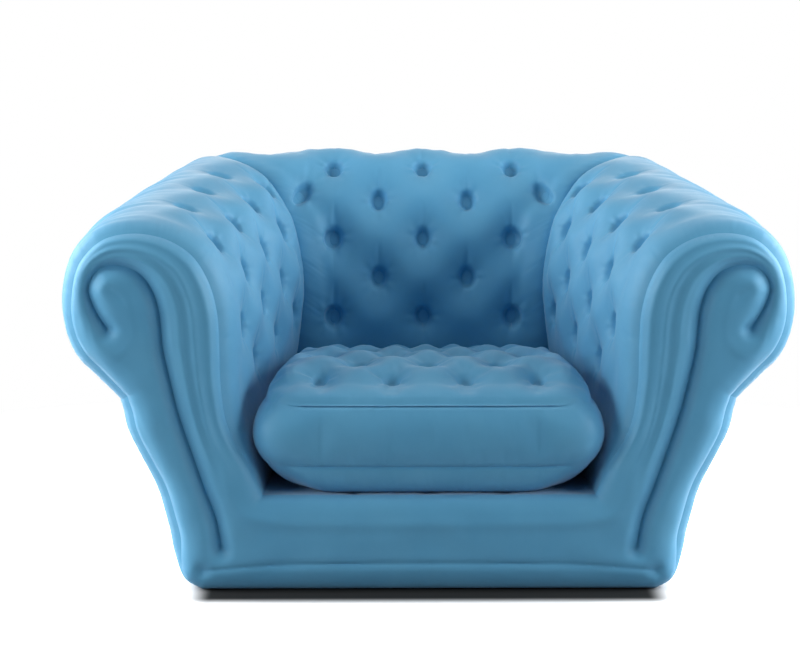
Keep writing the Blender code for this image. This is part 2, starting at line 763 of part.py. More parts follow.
def add_chair_webs(material):
    rows = np.arange(FLOOR_ROW + 1)
    for number, station in enumerate(WEB_STATIONS, 1):
        points = arm_surface(np.full(len(rows), station), rows)
        y = points[0][1]
        outline = [tuple(point) for point in points[:, [0, 2]]]
        for side, sign in (("right", 1), ("left", -1)):
            section_web(
                f"arm_{side}_web_{number}",
                outline,
                WEB_GAP,
                lambda a, b, sign=sign, y=y: (sign * a, y, b),
                (0, 1, 0),
                material,
            )
    for number, station in enumerate((-BACK_STRAIGHT, 0, BACK_STRAIGHT), 1):
        points = back_surface(np.full(len(rows), station), rows)
        x = points[0][0]
        outline = [tuple(point) for point in points[:, [1, 2]]]
        section_web(
            f"back_web_{number}",
            outline,
            WEB_GAP,
            lambda a, b, x=x: (x, a, b),
            (1, 0, 0),
            material,
        )
    points = arm_surface(np.full(len(rows), ARM_MITRE), rows)
    stretch = math.hypot(1, MITRE_SLOPE)
    outline = [(x * stretch, z) for x, _, z in points]
    for side, sign in (("right", 1), ("left", -1)):
        section_web(
            f"corner_web_{side}",
            outline,
            CORNER_WEB_GAP,
            lambda a, b, sign=sign: (sign * a / stretch, mitre_y(a / stretch), b),
            (sign * -MITRE_SLOPE / stretch, 1 / stretch, 0),
            material,
        )


def add_base_beams(material):
    """Upright beams that tie the seat deck to the base panel."""
    low = WALL + SEAM_GAP
    high = DECK_HEIGHT - WALL - SEAM_GAP
    front = FRONT_SEAM_Y + BEAM_END_GAP
    rear = BACK_FACE_Y - BEAM_END_GAP
    for number, place in enumerate((-1, 0, 1), 1):
        x = place * BEAM_SPACING
        outline = [(front, low), (rear, low), (rear, high), (front, high)]
        holes = [
            ((front + (rear - front) * share, DECK_HEIGHT / 2), BEAM_HOLE_RADIUS)
            for share in BEAM_HOLE_SHARES
        ]
        web(
            f"base_beam_{number}", outline, holes, lambda a, b, x=x: (x, a, b), (1, 0, 0), material
        )


# The cushion

CUSHION_FLOOR = DECK_HEIGHT + CUSHION_REST_GAP
CUSHION_HALF_DEPTH = (CUSHION_REAR_Y - CUSHION_FRONT_Y) / 2
CUSHION_MIDDLE_Y = (CUSHION_REAR_Y + CUSHION_FRONT_Y) / 2


def cushion_plan(column, row, grow=0):
    """Places a point of the square from -1 to 1 in the cushion's rounded, tapered plan."""
    reach = np.maximum(np.abs(column), np.abs(row))
    power = CUSHION_CORNER_POWER - CUSHION_CORNER_POWER_RISE * row
    norm = (np.abs(column) ** power + np.abs(row) ** power) ** (1 / power)
    draw = 1 - reach**4 * (1 - reach / np.maximum(norm, MERGE))
    across, back = column * draw, row * draw
    half = (CUSHION_FRONT_HALF + CUSHION_REAR_HALF) / 2
    half = half + (CUSHION_REAR_HALF - CUSHION_FRONT_HALF) / 2 * back + grow
    return across * half, CUSHION_MIDDLE_Y + back * (CUSHION_HALF_DEPTH + grow)


def cushion_top(column, row):
    """The crowned, tufted top. Column and row run from -1 to 1."""
    x, y = cushion_plan(column, row)
    side = (1 - np.abs(column)) * CUSHION_HALF_DEPTH
    crown = CUSHION_CROWN * np.interp((row + 1) / 2, *np.transpose(CUSHION_CROWN_SHARES))
    crown = crown * (1 - draw_in(1, CUSHION_CROWN_REACH, side))
    i = (column + 1) / 2 * CUSHION_COLUMNS - CUSHION_COLUMNS / 2
    k = (row + 1) / 2 * CUSHION_ROWS
    quarter = math.tau / STEPS_PER_PITCH
    pattern = np.cos(quarter * (i - CUSHION_FIRST_TUFT_COLUMN)) * np.cos(
        quarter * (k - CUSHION_FIRST_TUFT_ROW)
    )
    window = smooth_step(*CUSHION_TUFT_COLUMN_FADE, CUSHION_COLUMNS / 2 - np.abs(i))
    window = window * smooth_step(*CUSHION_TUFT_ROW_FADE, np.minimum(k, CUSHION_ROWS - k))
    height = window * tuft_height(pattern, CUSHION_TUFT_DEPTH, CUSHION_PUFF)
    z = CUSHION_FLOOR + CUSHION_TOP_SEAM + crown + height
    return np.stack([x, y, z], axis=-1)


def cushion_edge():
    """The square's edge as a loop of columns and rows, anticlockwise from the front left."""
    columns = np.linspace(-1, 1, CUSHION_COLUMNS + 1)
    rows = np.linspace(-1, 1, CUSHION_ROWS + 1)
    loop = [(c, -1.0) for c in columns[:-1]] + [(1.0, r) for r in rows[:-1]]
    loop += [(c, 1.0) for c in columns[:0:-1]] + [(-1.0, r) for r in rows[:0:-1]]
    return np.array(loop)


def cushion_ring(grow, height):
    """A level ring round the cushion. The rear's middle stays flat, round the valve."""
    edge = cushion_edge()
    x, _ = cushion_plan(edge[:, 0], edge[:, 1])
    middle = 1 - smooth_step(CUSHION_FLAT_HALF, CUSHION_FLAT_FADE, np.abs(x))
    flat = np.where(edge[:, 1] == 1, middle, 0)
    grown = grow * (1 - flat) if grow > 0 else grow
    x, y = cushion_plan(edge[:, 0], edge[:, 1], grown)
    return np.stack([x, y, np.full(len(x), CUSHION_FLOOR + height)], axis=-1)


def cushion_skin():
    skin = Skin()
    columns = np.linspace(-1, 1, CUSHION_COLUMNS + 1)
    rows = np.linspace(-1, 1, CUSHION_ROWS + 1)
    skin.add_grid("cushion_top_panel", cushion_top(*np.meshgrid(columns, rows)), phase=1)
    middle = (CUSHION_BASE_SEAM + CUSHION_TOP_SEAM) / 2
    roll_in, roll_rise = CUSHION_ROLL_SHARES
    base = (
        cushion_ring(-CUSHION_ROLL_IN, 0),
        cushion_ring(-CUSHION_ROLL_IN * roll_in, CUSHION_BASE_SEAM * roll_rise),
        cushion_ring(0, CUSHION_BASE_SEAM),
    )
    band = (
        cushion_ring(0, CUSHION_BASE_SEAM),
        cushion_ring(CUSHION_BULGE, middle),
        cushion_ring(0, CUSHION_TOP_SEAM),
    )
    for panel, rings in (("cushion_base_panel", base), ("cushion_side_band", band)):
        skin.add_grid(panel, [np.vstack([loop, loop[:1]]) for loop in rings])
    add_flat(skin, "cushion_base_panel", list(base[0]), flip=True)
    skin.finish()
    return skin


def add_cushion_beams(material):
    """Upright beams that tie the cushion's tufts to its base panel."""
    end = CUSHION_BEAM_END_COLUMN
    columns = np.linspace(-1, 1, CUSHION_COLUMNS + 1)[end:-end]
    for number, row in enumerate(CUSHION_BEAM_ROWS, 1):
        share = -1 + 2 * row / CUSHION_ROWS
        top = cushion_top(columns, np.full(len(columns), share))
        y = top[len(top) // 2][1]
        floor = CUSHION_FLOOR + WALL + SEAM_GAP
        ceiling = [(x, z - WALL - CUSHION_BEAM_GAP) for x, _, z in top]
        outline = [(ceiling[0][0], floor), (ceiling[-1][0], floor), *ceiling[::-1]]
        height = CUSHION_FLOOR + (CUSHION_TOP_SEAM + CUSHION_CROWN) / 2
        span = ceiling[-1][0] - ceiling[0][0]
        holes = [
            ((ceiling[0][0] + span * share, height), BEAM_HOLE_RADIUS)
            for share in BEAM_HOLE_SHARES
        ]
        web(
            f"cushion_beam_{number}",
            outline,
            holes,
            lambda a, b, y=y: (a, y, b),
            (0, 1, 0),
            material,
        )


# Valves


def turned(name, profile, closed, parent, material):
    """A solid of revolution about its own Z. A closed profile makes a ring."""
    points, loops = [], []
    for radius, height in profile:
        if radius == 0:
            loops.append([len(points)] * VALVE_SEGMENTS)
            points.append((0, 0, height))
            continue
        loops.append(list(range(len(points), len(points) + VALVE_SEGMENTS)))
        points += [(x, y, height) for x, y in ring((0, 0), radius, VALVE_SEGMENTS)]
    if closed:
        loops.append(loops[0])
    faces = []
    for low, high in zip(loops, loops[1:]):
        for k in range(VALVE_SEGMENTS):
            after = (k + 1) % VALVE_SEGMENTS
            face = [low[k], low[after], high[after], high[k]]
            face = [i for n, i in enumerate(face) if i != face[n - 1]]
            faces.append(face)
    obj = add_mesh(name, points, faces, material)
    face_out(obj)
    obj.data.shade_smooth()
    obj.data.set_sharp_from_angle(angle=MOULDED_SMOOTH_ANGLE)
    obj.parent = parent
    return obj


def tube_profile(inner, outer, low, high):
    return [(outer, low), (outer, high), (inner, high), (inner, low)]


def cut_hole(panel, parent):
    """Cuts the valve's hole through its panel."""
    reach = NECK_HEIGHT + NECK_DEPTH
    name = f"{panel.name}_hole_cutter"
    profile = [(0, -reach), (VALVE_HOLE_RADIUS, -reach), (VALVE_HOLE_RADIUS, reach), (0, reach)]
    cutter = turned(name, profile, False, parent, panel.data.materials[0])
    cutter.hide_render = True
    cutter.display_type = "WIRE"
    cut = panel.modifiers.new("valve_hole", "BOOLEAN")
    cut.object = cutter
    cut.operation = "DIFFERENCE"
    cut.solver = "EXACT"


def add_tether(name, parent, low, high, hook, material):
    """A strap from a loop round the cap's stem to a lug beside the plug's flange."""
    loop_radius = CAP_STEM_RADIUS + VALVE_FIT + TETHER_WIDTH / 3
    bore = CAP_STEM_RADIUS + VALVE_FIT
    half = TETHER_WIDTH / 2
    side = math.asin(half / loop_radius)
    arc = [side + (math.tau - 2 * side) * k / VALVE_SEGMENTS for k in range(VALVE_SEGMENTS + 1)]
    edge = [(loop_radius * math.cos(a), loop_radius * math.sin(a)) for a in arc]
    reach = hook + TETHER_WALL
    outline = [*edge, (reach, -half), (reach, half)]
    points = outline + ring((0, 0), bore, VALVE_SEGMENTS)
    loops = [list(range(len(outline))), list(range(len(outline), len(points)))]
    faces = fill(points, loops)
    count = len(points)
    solid = [(x, y, high) for x, y in points] + [(x, y, high - TETHER_WALL) for x, y in points]
    cells = [list(face) for face in faces]
    cells += [[i + count for i in reversed(face)] for face in faces]
    edges = {(face[k], face[(k + 1) % 3]) for face in faces for k in range(3)}
    leg = len(outline) - 2
    for a, b in sorted(edges):
        if (b, a) not in edges and {a, b} != {leg, leg + 1}:
            cells.append([b, a, a + count, b + count])
    top = len(solid)
    for x in (reach, hook):
        solid += [(x, -half, low), (x, half, low)]
    cells.append([leg, leg + 1, top + 1, top])
    inner = len(solid)
    solid += [(hook, -half, high - TETHER_WALL), (hook, half, high - TETHER_WALL)]
    cells.append([top + 2, top + 3, inner + 1, inner])
    cells.append([top, top + 1, top + 3, top + 2])
    cells.append([leg, top, top + 2, inner, leg + count])
    cells.append([leg + 1, leg + 1 + count, inner + 1, top + 3, top + 1])
    cells.append([inner, inner + 1, leg + 1 + count, leg + count])
    obj = add_mesh(name, solid, cells, material, smooth=False)
    face_out(obj)
    obj.parent = parent
    return obj


def add_valve(prefix, location, panel, moulded, seal):
    """A two-stage screw valve: a base, a plug with a flap, and a cap. Its axis points to +Y."""
    axis = bpy.data.objects.new(f"{prefix}_axis", None)
    axis.location = location
    axis.rotation_euler = (-math.pi / 2, 0, 0)
    bpy.context.scene.collection.objects.link(axis)
    cut_hole(panel, axis)

    flange_top = -WALL - VALVE_FIT
    flange_low = flange_top - VALVE_FLANGE_WALL
    base = [
        (VALVE_FLANGE_RADIUS, flange_low),
        (VALVE_FLANGE_RADIUS, flange_top),
        (NECK_RADIUS, flange_top),
        (NECK_RADIUS, NECK_HEIGHT),
        (NECK_BORE, NECK_HEIGHT),
        (NECK_BORE, -NECK_DEPTH),
        (NECK_RADIUS, -NECK_DEPTH),
        (NECK_RADIUS, flange_low),
    ]
    turned(f"{prefix}_base", base, True, axis, moulded)

    seal_low = NECK_HEIGHT + VALVE_FIT
    seal_high = seal_low + SEAL_WALL
    seal_profile = tube_profile(PLUG_RADIUS + VALVE_FIT, NECK_RADIUS, seal_low, seal_high)
    turned(f"{prefix}_plug_gasket", seal_profile, True, axis, seal)

    plug_low = seal_high + VALVE_FIT
    plug_high = plug_low + PLUG_FLANGE_WALL
    plug_top = plug_high + PLUG_NECK_HEIGHT
    plug = [
        (PLUG_RADIUS, -PLUG_DEPTH),
        (PLUG_RADIUS, plug_low),
        (PLUG_FLANGE_RADIUS, plug_low),
        (PLUG_FLANGE_RADIUS, plug_high),
        (PLUG_NECK_RADIUS, plug_high),
        (PLUG_NECK_RADIUS, plug_top),
        (PLUG_BORE, plug_top),
        (PLUG_BORE, -PLUG_DEPTH),
    ]
    turned(f"{prefix}_plug", plug, True, axis, moulded)

    flap_high = -PLUG_DEPTH - VALVE_FIT
    flap_low = flap_high - FLAP_WALL
    flap = [(0, flap_low), (FLAP_RADIUS, flap_low), (FLAP_RADIUS, flap_high), (0, flap_high)]
    turned(f"{prefix}_flap", flap, False, axis, seal)

    gasket_low = plug_top + VALVE_FIT
    gasket_high = gasket_low + SEAL_WALL
    gasket = tube_profile(PLUG_BORE, PLUG_NECK_RADIUS, gasket_low, gasket_high)
    turned(f"{prefix}_cap_gasket", gasket, True, axis, seal)

    travel = THREAD_PITCH * CAP_TURNS
    disc_low = gasket_high + VALVE_FIT
    disc_high = disc_low + CAP_DISC_WALL
    skirt_inner = PLUG_NECK_RADIUS + VALVE_FIT
    skirt_outer = skirt_inner + CAP_SKIRT_WALL
    stem_top = disc_high + travel + TETHER_WALL + 2 * VALVE_FIT
    knob_top = stem_top + CAP_KNOB_WALL
    cap = [
        (0, disc_low),
        (skirt_inner, disc_low),
        (skirt_inner, plug_high + VALVE_FIT),
        (skirt_outer, plug_high + VALVE_FIT),
        (skirt_outer, disc_high),
        (CAP_STEM_RADIUS, disc_high),
        (CAP_STEM_RADIUS, stem_top),
        (CAP_KNOB_RADIUS, stem_top),
        (CAP_KNOB_RADIUS, knob_top),
        (0, knob_top),
    ]
    turned(f"{prefix}_cap", cap, False, axis, moulded)

    tether_high = stem_top - VALVE_FIT
    hook = PLUG_FLANGE_RADIUS + VALVE_FIT
    add_tether(f"{prefix}_tether", axis, plug_low, tether_high, hook, seal)


# Materials and assembly


def make_material(name, colour, roughness, metallic=0.0):
    material = bpy.data.materials.new(name)
    material.use_nodes = True
    shader = material.node_tree.nodes["Principled BSDF"]
    shader.inputs["Base Color"].default_value = colour
    shader.inputs["Roughness"].default_value = roughness
    shader.inputs["Metallic"].default_value = metallic
    return material


def main():
    for obj in list(bpy.data.objects):
        bpy.data.objects.remove(obj)
    vinyl = make_material("soft_touch_vinyl", VINYL_BLUE, VINYL_ROUGHNESS)
    sheet = make_material("web_vinyl", WEB_BLUE, VINYL_ROUGHNESS)
    moulded = make_material("valve_moulding", VALVE_BLUE, MOULDED_ROUGHNESS)
    seal = make_material("valve_rubber", SEAL_GREY, MOULDED_ROUGHNESS)

    chair = chair_skin()
    panels = {name: chair.panel(name, vinyl) for name in sorted(set(chair.panels))}
    cushion = cushion_skin()
    for name in sorted(set(cushion.panels)):
        panels[name] = cushion.panel(name, vinyl)
    add_chair_webs(sheet)
    add_base_beams(sheet)
    add_cushion_beams(sheet)

    flat_y = BACK_FOOT_Y + BACK_FLAT_SHARE * (BACK_NECK_Y - BACK_FOOT_Y)
    body_place = (BODY_VALVE_X, flat_y, BODY_VALVE_HEIGHT)
    add_valve("body_valve", body_place, panels["back_outer_panel"], moulded, seal)
    band_middle = CUSHION_FLOOR + (CUSHION_BASE_SEAM + CUSHION_TOP_SEAM) / 2
    cushion_place = (0, CUSHION_REAR_Y, band_middle)
    add_valve("cushion_valve", cushion_place, panels["cushion_side_band"], moulded, seal)


main()
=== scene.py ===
"""The looks of the inflatable armchair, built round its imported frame.

Every welded panel is made again on the frame's own surfaces, with fine tufts, seams, pleats and
ripples. The cushion is blown up by a cloth simulation. Metres: X runs to the viewer's right, the
front faces -Y and +Z is up.
"""

import math

import bmesh
import bpy
import numpy as np
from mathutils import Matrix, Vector
from mathutils.geometry import delaunay_2d_cdt


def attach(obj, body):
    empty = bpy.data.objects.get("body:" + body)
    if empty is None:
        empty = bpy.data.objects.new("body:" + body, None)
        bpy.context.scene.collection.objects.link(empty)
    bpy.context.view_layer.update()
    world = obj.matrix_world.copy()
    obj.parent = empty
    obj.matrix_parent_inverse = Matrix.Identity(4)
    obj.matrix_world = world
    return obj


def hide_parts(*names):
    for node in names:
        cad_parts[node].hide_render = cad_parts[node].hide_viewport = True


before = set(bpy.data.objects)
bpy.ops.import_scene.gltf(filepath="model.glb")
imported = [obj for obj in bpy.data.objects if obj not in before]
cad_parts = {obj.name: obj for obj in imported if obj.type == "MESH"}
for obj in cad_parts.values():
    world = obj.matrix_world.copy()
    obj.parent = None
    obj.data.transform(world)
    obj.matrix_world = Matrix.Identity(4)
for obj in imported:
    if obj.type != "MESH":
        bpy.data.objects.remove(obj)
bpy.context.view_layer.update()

# The frame's own sizes, as its source gives them
WIDTH = 1.45
DEPTH = 0.98
BACK_HEIGHT = 0.824
ARM_FRONT_HEIGHT = 0.741
CORNER_HEIGHT = 0.814
WALL = 0.0009
DECK_HEIGHT = 0.19
WELL_FRONT_HALF = 0.331
WELL_REAR_HALF = 0.300
WELL_REAR_Y = 0.245
ARM_FOOT_HALF = 0.452
ARM_NECK_HALF = 0.618
ARM_NECK_DROP = 0.034
BACK_FACE_Y = 0.240
BACK_NECK_Y = 0.420
BACK_NECK_HEIGHT = 0.410
BACK_FOOT_Y = 0.352
CORNER_REACH_HALF = 0.665
CORNER_NECK_HALF = 0.600
CORNER_FOOT_HALF = 0.440
MITRE_SLOPE = 0.60
FRONT_BULGE = 0.030
FRONT_ROUND = 0.050
PUFF = 0.006
ARM_FIRST_TUFT_ARC = 0.219
BACK_FIRST_TUFT_ARC = 0.264
CORNER_FIRST_TUFT_ARC = 0.302
ARM_PITCH = 0.180
BACK_PITCH = 0.200
STEPS_PER_PITCH = 4
FIRST_TUFT_ROW = 5
LAST_EVEN_ROW = 17
NECK_ROW = 24
FLOOR_ROW = 33
EVEN_ROWS_SHARE = 0.607
ARM_STRAIGHT = 13
ARM_FAN = 4
BACK_STRAIGHT = 4
BACK_FAN = 4
ARM_TUFT_STATION = 3
ARM_TUFT_ROW = 11
ARM_LAST_TUFT_ROW = 13
BACK_LAST_TUFT_ROW = 15
TUFT_FADE_ROWS = (1.6, 2)
TUFT_FADE_STATIONS = (1, 2.5)
SEAM_FADE_ROWS = (4, 3)
ARM_HOLD = 0.78
BACK_BASE_HOLD = 1.4
BACK_HOLD = 0.8
HOLD_ROWS = (11, 17)
FRONT_PINCH = 0.024
FRONT_PINCH_REACH = 0.055
CORNER_PINCH = 0.022
CORNER_PINCH_REACH = 0.060
TUFT_FADE_START = 0.020
TUFT_FADE_END = 0.080
SAMPLES_PER_SPAN = 24
NORMAL_STEP = 0.01
FRONT_SEAM_Y = FRONT_BULGE - DEPTH / 2
ARM_MITRE = ARM_STRAIGHT + ARM_FAN
BACK_MITRE = BACK_STRAIGHT + BACK_FAN

# Cross sections, as shares across and up. Inner shares run from the seat deck over the crown,
# between the well and the roll's reach. Outer shares run on down to the neck, between the neck
# and the roll's reach. Flank shares run from the neck, at 1, to the floor, at 0
ARM_INNER_SHARES = (
    (0, 0), (0.053, 0.126), (0.112, 0.252), (0.142, 0.414), (0.150, 0.559), (0.163, 0.685),
    (0.202, 0.793), (0.294, 0.901), (0.454, 0.978), (0.645, 1), (0.822, 0.969),
)
ARM_OUTER_SHARES = ((0.794, 0.822), (1, 0.604), (0.970, 0.399), (0.768, 0.248), (0.345, 0.110))
ARM_FLANK_SHARES = (
    (1, 1), (0.898, 0.840), (0.711, 0.665), (0.548, 0.521), (0.422, 0.319), (0.349, 0.160),
    (0.229, 0.048), (0, 0),
)
CORNER_INNER_SHARES = (
    (0, 0), (-0.026, 0.125), (-0.056, 0.266), (-0.100, 0.422), (-0.118, 0.547),
    (-0.091, 0.688), (-0.022, 0.820), (0.094, 0.922), (0.269, 0.984), (0.511, 1), (0.739, 0.903),
)
CORNER_OUTER_SHARES = ((0.517, 0.693), (1, 0.544), (0.989, 0.398), (0.742, 0.259), (0.292, 0.120))
CORNER_FLANK_SHARES = (
    (1, 1), (0.894, 0.829), (0.719, 0.646), (0.5625, 0.488), (0.425, 0.305), (0.344, 0.151),
    (0.219, 0.044), (0, 0),
)
BACK_INNER_SHARES = (
    (0, 0), (-0.024, 0.172), (-0.040, 0.359), (-0.008, 0.516), (0.064, 0.672), (0.176, 0.8125),
    (0.328, 0.922), (0.500, 0.984), (0.660, 1), (0.840, 0.972),
)
BACK_OUTER_SHARES = ((0.857, 0.843), (1, 0.688), (0.886, 0.495), (0.600, 0.303), (0.286, 0.134))
BACK_FLAT_SHARE = 0.840
BACK_FLANK_SHARES = (
    (1, 1), (0.900, 0.860), (BACK_FLAT_SHARE, 0.756), (BACK_FLAT_SHARE, 0.610),
    (BACK_FLAT_SHARE, 0.463), (BACK_FLAT_SHARE, 0.317), (BACK_FLAT_SHARE, 0.171),
    (0.720, 0.073), (0.450, 0.020), (0, 0),
)

# The cushion
CUSHION_FRONT_Y = -0.475
CUSHION_REAR_Y = 0.200
CUSHION_FRONT_HALF = 0.341
CUSHION_REAR_HALF = 0.264
CUSHION_BASE_SEAM = 0.056
CUSHION_TOP_SEAM = 0.182
CUSHION_CROWN = 0.064
CUSHION_CROWN_REACH = 0.075
CUSHION_BULGE = 0.014
CUSHION_SIDE_BULGE = 0.024
CUSHION_ROLL_IN = 0.045
CUSHION_SIDE_ROLL_IN = 0.080
CUSHION_SIDE_ROLL_FLARE = 0.45
CUSHION_CORNER_POWER = 6.5
CUSHION_CORNER_POWER_RISE = 1.5
CUSHION_PUFF = 0.006
CUSHION_COLUMNS = 18
CUSHION_ROWS = 16
CUSHION_TUFT_COLUMN_FADE = (0.5, 2)
CUSHION_TUFT_ROW_FADE = (0.5, 2)
CUSHION_FIRST_TUFT = 2
CUSHION_LAST_TUFT_COLUMN = 6
CUSHION_REST_GAP = 0.0003
CUSHION_FLAT_HALF = 0.060
CUSHION_FLAT_FADE = 0.140
CUSHION_CROWN_SHARES = (
    (0, 0), (0.022, 0.300), (0.052, 0.445), (0.081, 0.547), (0.141, 0.797), (0.200, 0.945),
    (0.333, 1), (0.481, 0.9375), (0.630, 0.790), (0.778, 0.5625), (0.852, 0.447),
    (0.926, 0.281), (1, 0),
)
CUSHION_FLOOR = DECK_HEIGHT + CUSHION_REST_GAP
CUSHION_HALF_DEPTH = (CUSHION_REAR_Y - CUSHION_FRONT_Y) / 2
CUSHION_MIDDLE_Y = (CUSHION_REAR_Y + CUSHION_FRONT_Y) / 2

# Fine tufts
FINE = 11
TUFT_CROWDING = 0.42
TUFT_CLEARANCE = (0.045, 0.060)
TUFT_DEPTH = 0.031
CUSHION_TUFT_DEPTH = 0.024
OVAL_ACROSS = 0.86
OVAL_UP = 1.12
WELD_RADIUS = 0.0150
TUFT_WALL_RADIUS = 0.0270
TUFT_WALL_SHARE = 0.62
DIMPLE_REACH = 0.088
DIMPLE_POWER = 1.7
LAST_ARM_ROW_SHARE = 0.42
LAST_BACK_ROW_SHARE = 0.70
PUCKER_FOLDS = (7, 11)
PUCKER_HEIGHT = 0.0007
PUCKER_REACH = 0.033
PUCKER_SPREAD = 0.011
PUCKER_FINE_SHARE = 0.6
PUCKER_FINE_TURN = 2.3
TUFT_TURNS = (1.7, 2.9)
CUSHION_TUFT_TURNS = (1.3, 2.1)
STREAK_DEPTH = 0.0018
STREAK_HALF = 0.0055
STREAK_START = (0.022, 0.034)
STREAK_END = (0.050, 0.090)
TUFT_LEAST_STRENGTH = 0.02
DISC_LEAST_STRENGTH = 0.3

# Noise and creases: waves in a sum, their length against the scale's, and each place's seed
WANDER_WAVES = 9
WANDER_TURNS = (0.6, 1.5)
WANDER_PHASE = 6
PLEAT_DRIFT = 0.4
ARM_FRONT_PLEATS, ARM_CORNER_PLEATS, BACK_CORNER_PLEATS = 3, 4, 5
CUSHION_TOP_PLEATS, CUSHION_BAND_PLEATS, CUSHION_ROLL_PLEATS = 7, 8, 10
SLACK_SEED, BROAD_SEED, NECK_SEED = 11, 12, 13
FACE_SEED, LEVEL_SEED, CUSHION_SEED = 21, 31, 41

# Fine seams
FLANGE = 0.0020
VALVE_CALM_START = 0.045
VALVE_CALM_END = 0.095
PLEAT_WAVES = (0.014, 0.023, 0.037, 0.058)
PLEAT_DEPTH = 0.0008
PLEAT_REACH = 0.040
GATHER_HEIGHT = 0.0016
GATHER_ROWS = (13, 16, 21, 24)
GATHER_WAVES = (0.045, 0.30)
BROAD_WAVE = 0.16
BROAD_SHARE = 0.5
NECK_WAVES = (0.030, 0.15)
NECK_SEAM_DEPTH = 0.0022
NECK_SEAM_HALF = 0.0045
NECK_PLEAT_HEIGHT = 0.0009

# The front face, as shares of half the width and of the arm's height
HOOK_CREASE_SHARES = (
    (0.871, 0.708), (0.893, 0.740), (0.913, 0.780), (0.921, 0.812), (0.910, 0.847),
    (0.888, 0.869), (0.858, 0.876), (0.826, 0.874), (0.783, 0.855), (0.750, 0.812),
    (0.736, 0.772), (0.728, 0.719), (0.723, 0.657), (0.706, 0.577), (0.684, 0.486),
    (0.654, 0.394), (0.618, 0.290), (0.580, 0.183), (0.569, 0.116),
)
OUTER_LINE_SHARES = (
    (0.954, 0.727), (0.940, 0.681), (0.858, 0.560), (0.807, 0.483), (0.752, 0.362),
    (0.710, 0.242), (0.683, 0.121), (0.673, 0.067),
)
RAIL_SEAM_SHARES = ((0, 0.077), (0.210, 0.076), (0.414, 0.0725), (0.552, 0.063), (0.623, 0.055))
RAIL_RIDGE_SHARES = (
    (0, 0.1826), (0.276, 0.184), (0.435, 0.191), (0.509, 0.212), (0.541, 0.252), (0.556, 0.330),
)
HOOK_DEPTH = 0.015
HOOK_REACH = 0.017
HOOK_LINE_DEPTH = 0.0060
HOOK_LINE_REACH = 0.0055
OUTER_LINE_DEPTH = 0.0022
OUTER_LINE_REACH = 0.010
RAIL_SEAM_DEPTH = 0.0045
RAIL_SEAM_REACH = 0.016
CORNER_DIMPLE_DEPTH = 0.007
CORNER_DIMPLE_REACH = 0.016
RAIL_RIDGE_HEIGHT = 0.0022
RAIL_RIDGE_REACH = 0.012
RIPPLE_HEIGHT = 0.0015
RIPPLE_ROWS = 20
RIPPLE_POWER = 1.7
RIPPLE_FIRST_SHARE = 0.15
RIPPLE_STEP_SHARE = 0.265
RIPPLE_END_SHARES = (0.62, 0.85)
FACE_GRID = 0.0038
FACE_ROW_SHARE = 0.87
FACE_EDGE_CLEARANCE = 0.6
FACE_HOOK_CLEARANCE = 0.7
HOOK_END_SHARE = 0.35
RIPPLE_START_SHARE = 0.08
RIPPLE_HEIGHTS = (0.20, 0.34)
RIPPLE_SIDES = (0.63, 0.69)
RIPPLE_WIDTHS = (0.16, 0.20)
FACE_DRIFT_HEIGHT = 0.0007
FACE_DRIFT_WAVE = 0.09
FACE_EDGE_STEP = 2
HOOK_STEP = 4
SAME_PLACE = 1e-6
SMOOTH_ANGLE = 60
VALVE_SMOOTH_ANGLE = 40
STRAP_SMOOTH_ANGLE = 50

# The cushion's cover
COVER_FINE = 9
EDGE_CROWDING = 0.70
BAND_CROWDING = 0.85
BAND_STEPS = 24
ROLL_STEPS = 10
ROLL_CROWDING = 1.5
CLOTH_FINE = 4
CLOTH_BAND_STEPS = 10
CLOTH_ROLL_STEPS = 5
CLOTH_FRAMES = 20
CLOTH_PRESSURE = 4.0
CLOTH_EXTRA = 0.02
TOP_RISE_LIMITS = (-0.003, 0.004)
BAND_RISE_LIMITS = (-0.002, 0.003)
CLOTH_QUALITY = 8
CLOTH_MASS = 0.3
CLOTH_STIFFNESS = 18
CLOTH_SHEAR_STIFFNESS = 8
CLOTH_BENDING_STIFFNESS = 1.5
CLOTH_WELD_CELLS = 0.3
CLOTH_VALVE_SHARE = 0.01
CORNER_SEAM_FADE = (0.72, 0.90)
CUSHION_TUFT_TIGHTEN = 1.15
CUSHION_PUCKER = 1.3
SEAM_GROOVE = 0.0042
SEAM_GROOVE_HALF = 0.0026
FRONT_FOLD_PLACE = 0.048
FRONT_FOLD_HALF = 0.004
FRONT_FOLD_DEPTH = 0.0012
FRONT_FOLD_END_ROW = -0.5
CUSHION_DRIFT_HEIGHT = 0.0008
CUSHION_DRIFT_WAVE = 0.07
CUSHION_DRIFT_START = 0.03
SIDE_ROLL_COLUMNS = (0.6, 0.95)
SIDE_ROLL_ROWS = (0, 0.8)
DISC_RADIUS = 0.0115
DISC_THICKNESS = 0.0020
DISC_RIM_SHARE = 0.9
CUSHION_DISC_SHARE = 0.9
DISC_VERTICES = 28
DISC_SIDE_STEPS = 2
DISC_FILL_STEPS = 3
DISC_STEP = 0.03

# Quilted seat deck and base
BEAM_PLACES = (-0.150, 0, 0.150)
BEAM_END_GAP = 0.020
BEAM_END_FADE = 0.050
DECK_VALLEY = 0.0050
BASE_VALLEY = 0.0028
VALLEY_REACH = 0.042
LEVEL_GRID = 0.011
LEVEL_CREASE = 0.0005
LEVEL_CREASE_WAVE = 0.05
LEVEL_CREASE_START = 0.03
DECK_FRONT_POINTS = 91
BASE_FRONT_POINTS = 121
GRID_CLEARANCE = 0.45
JOIN_DISTANCE = 1e-7

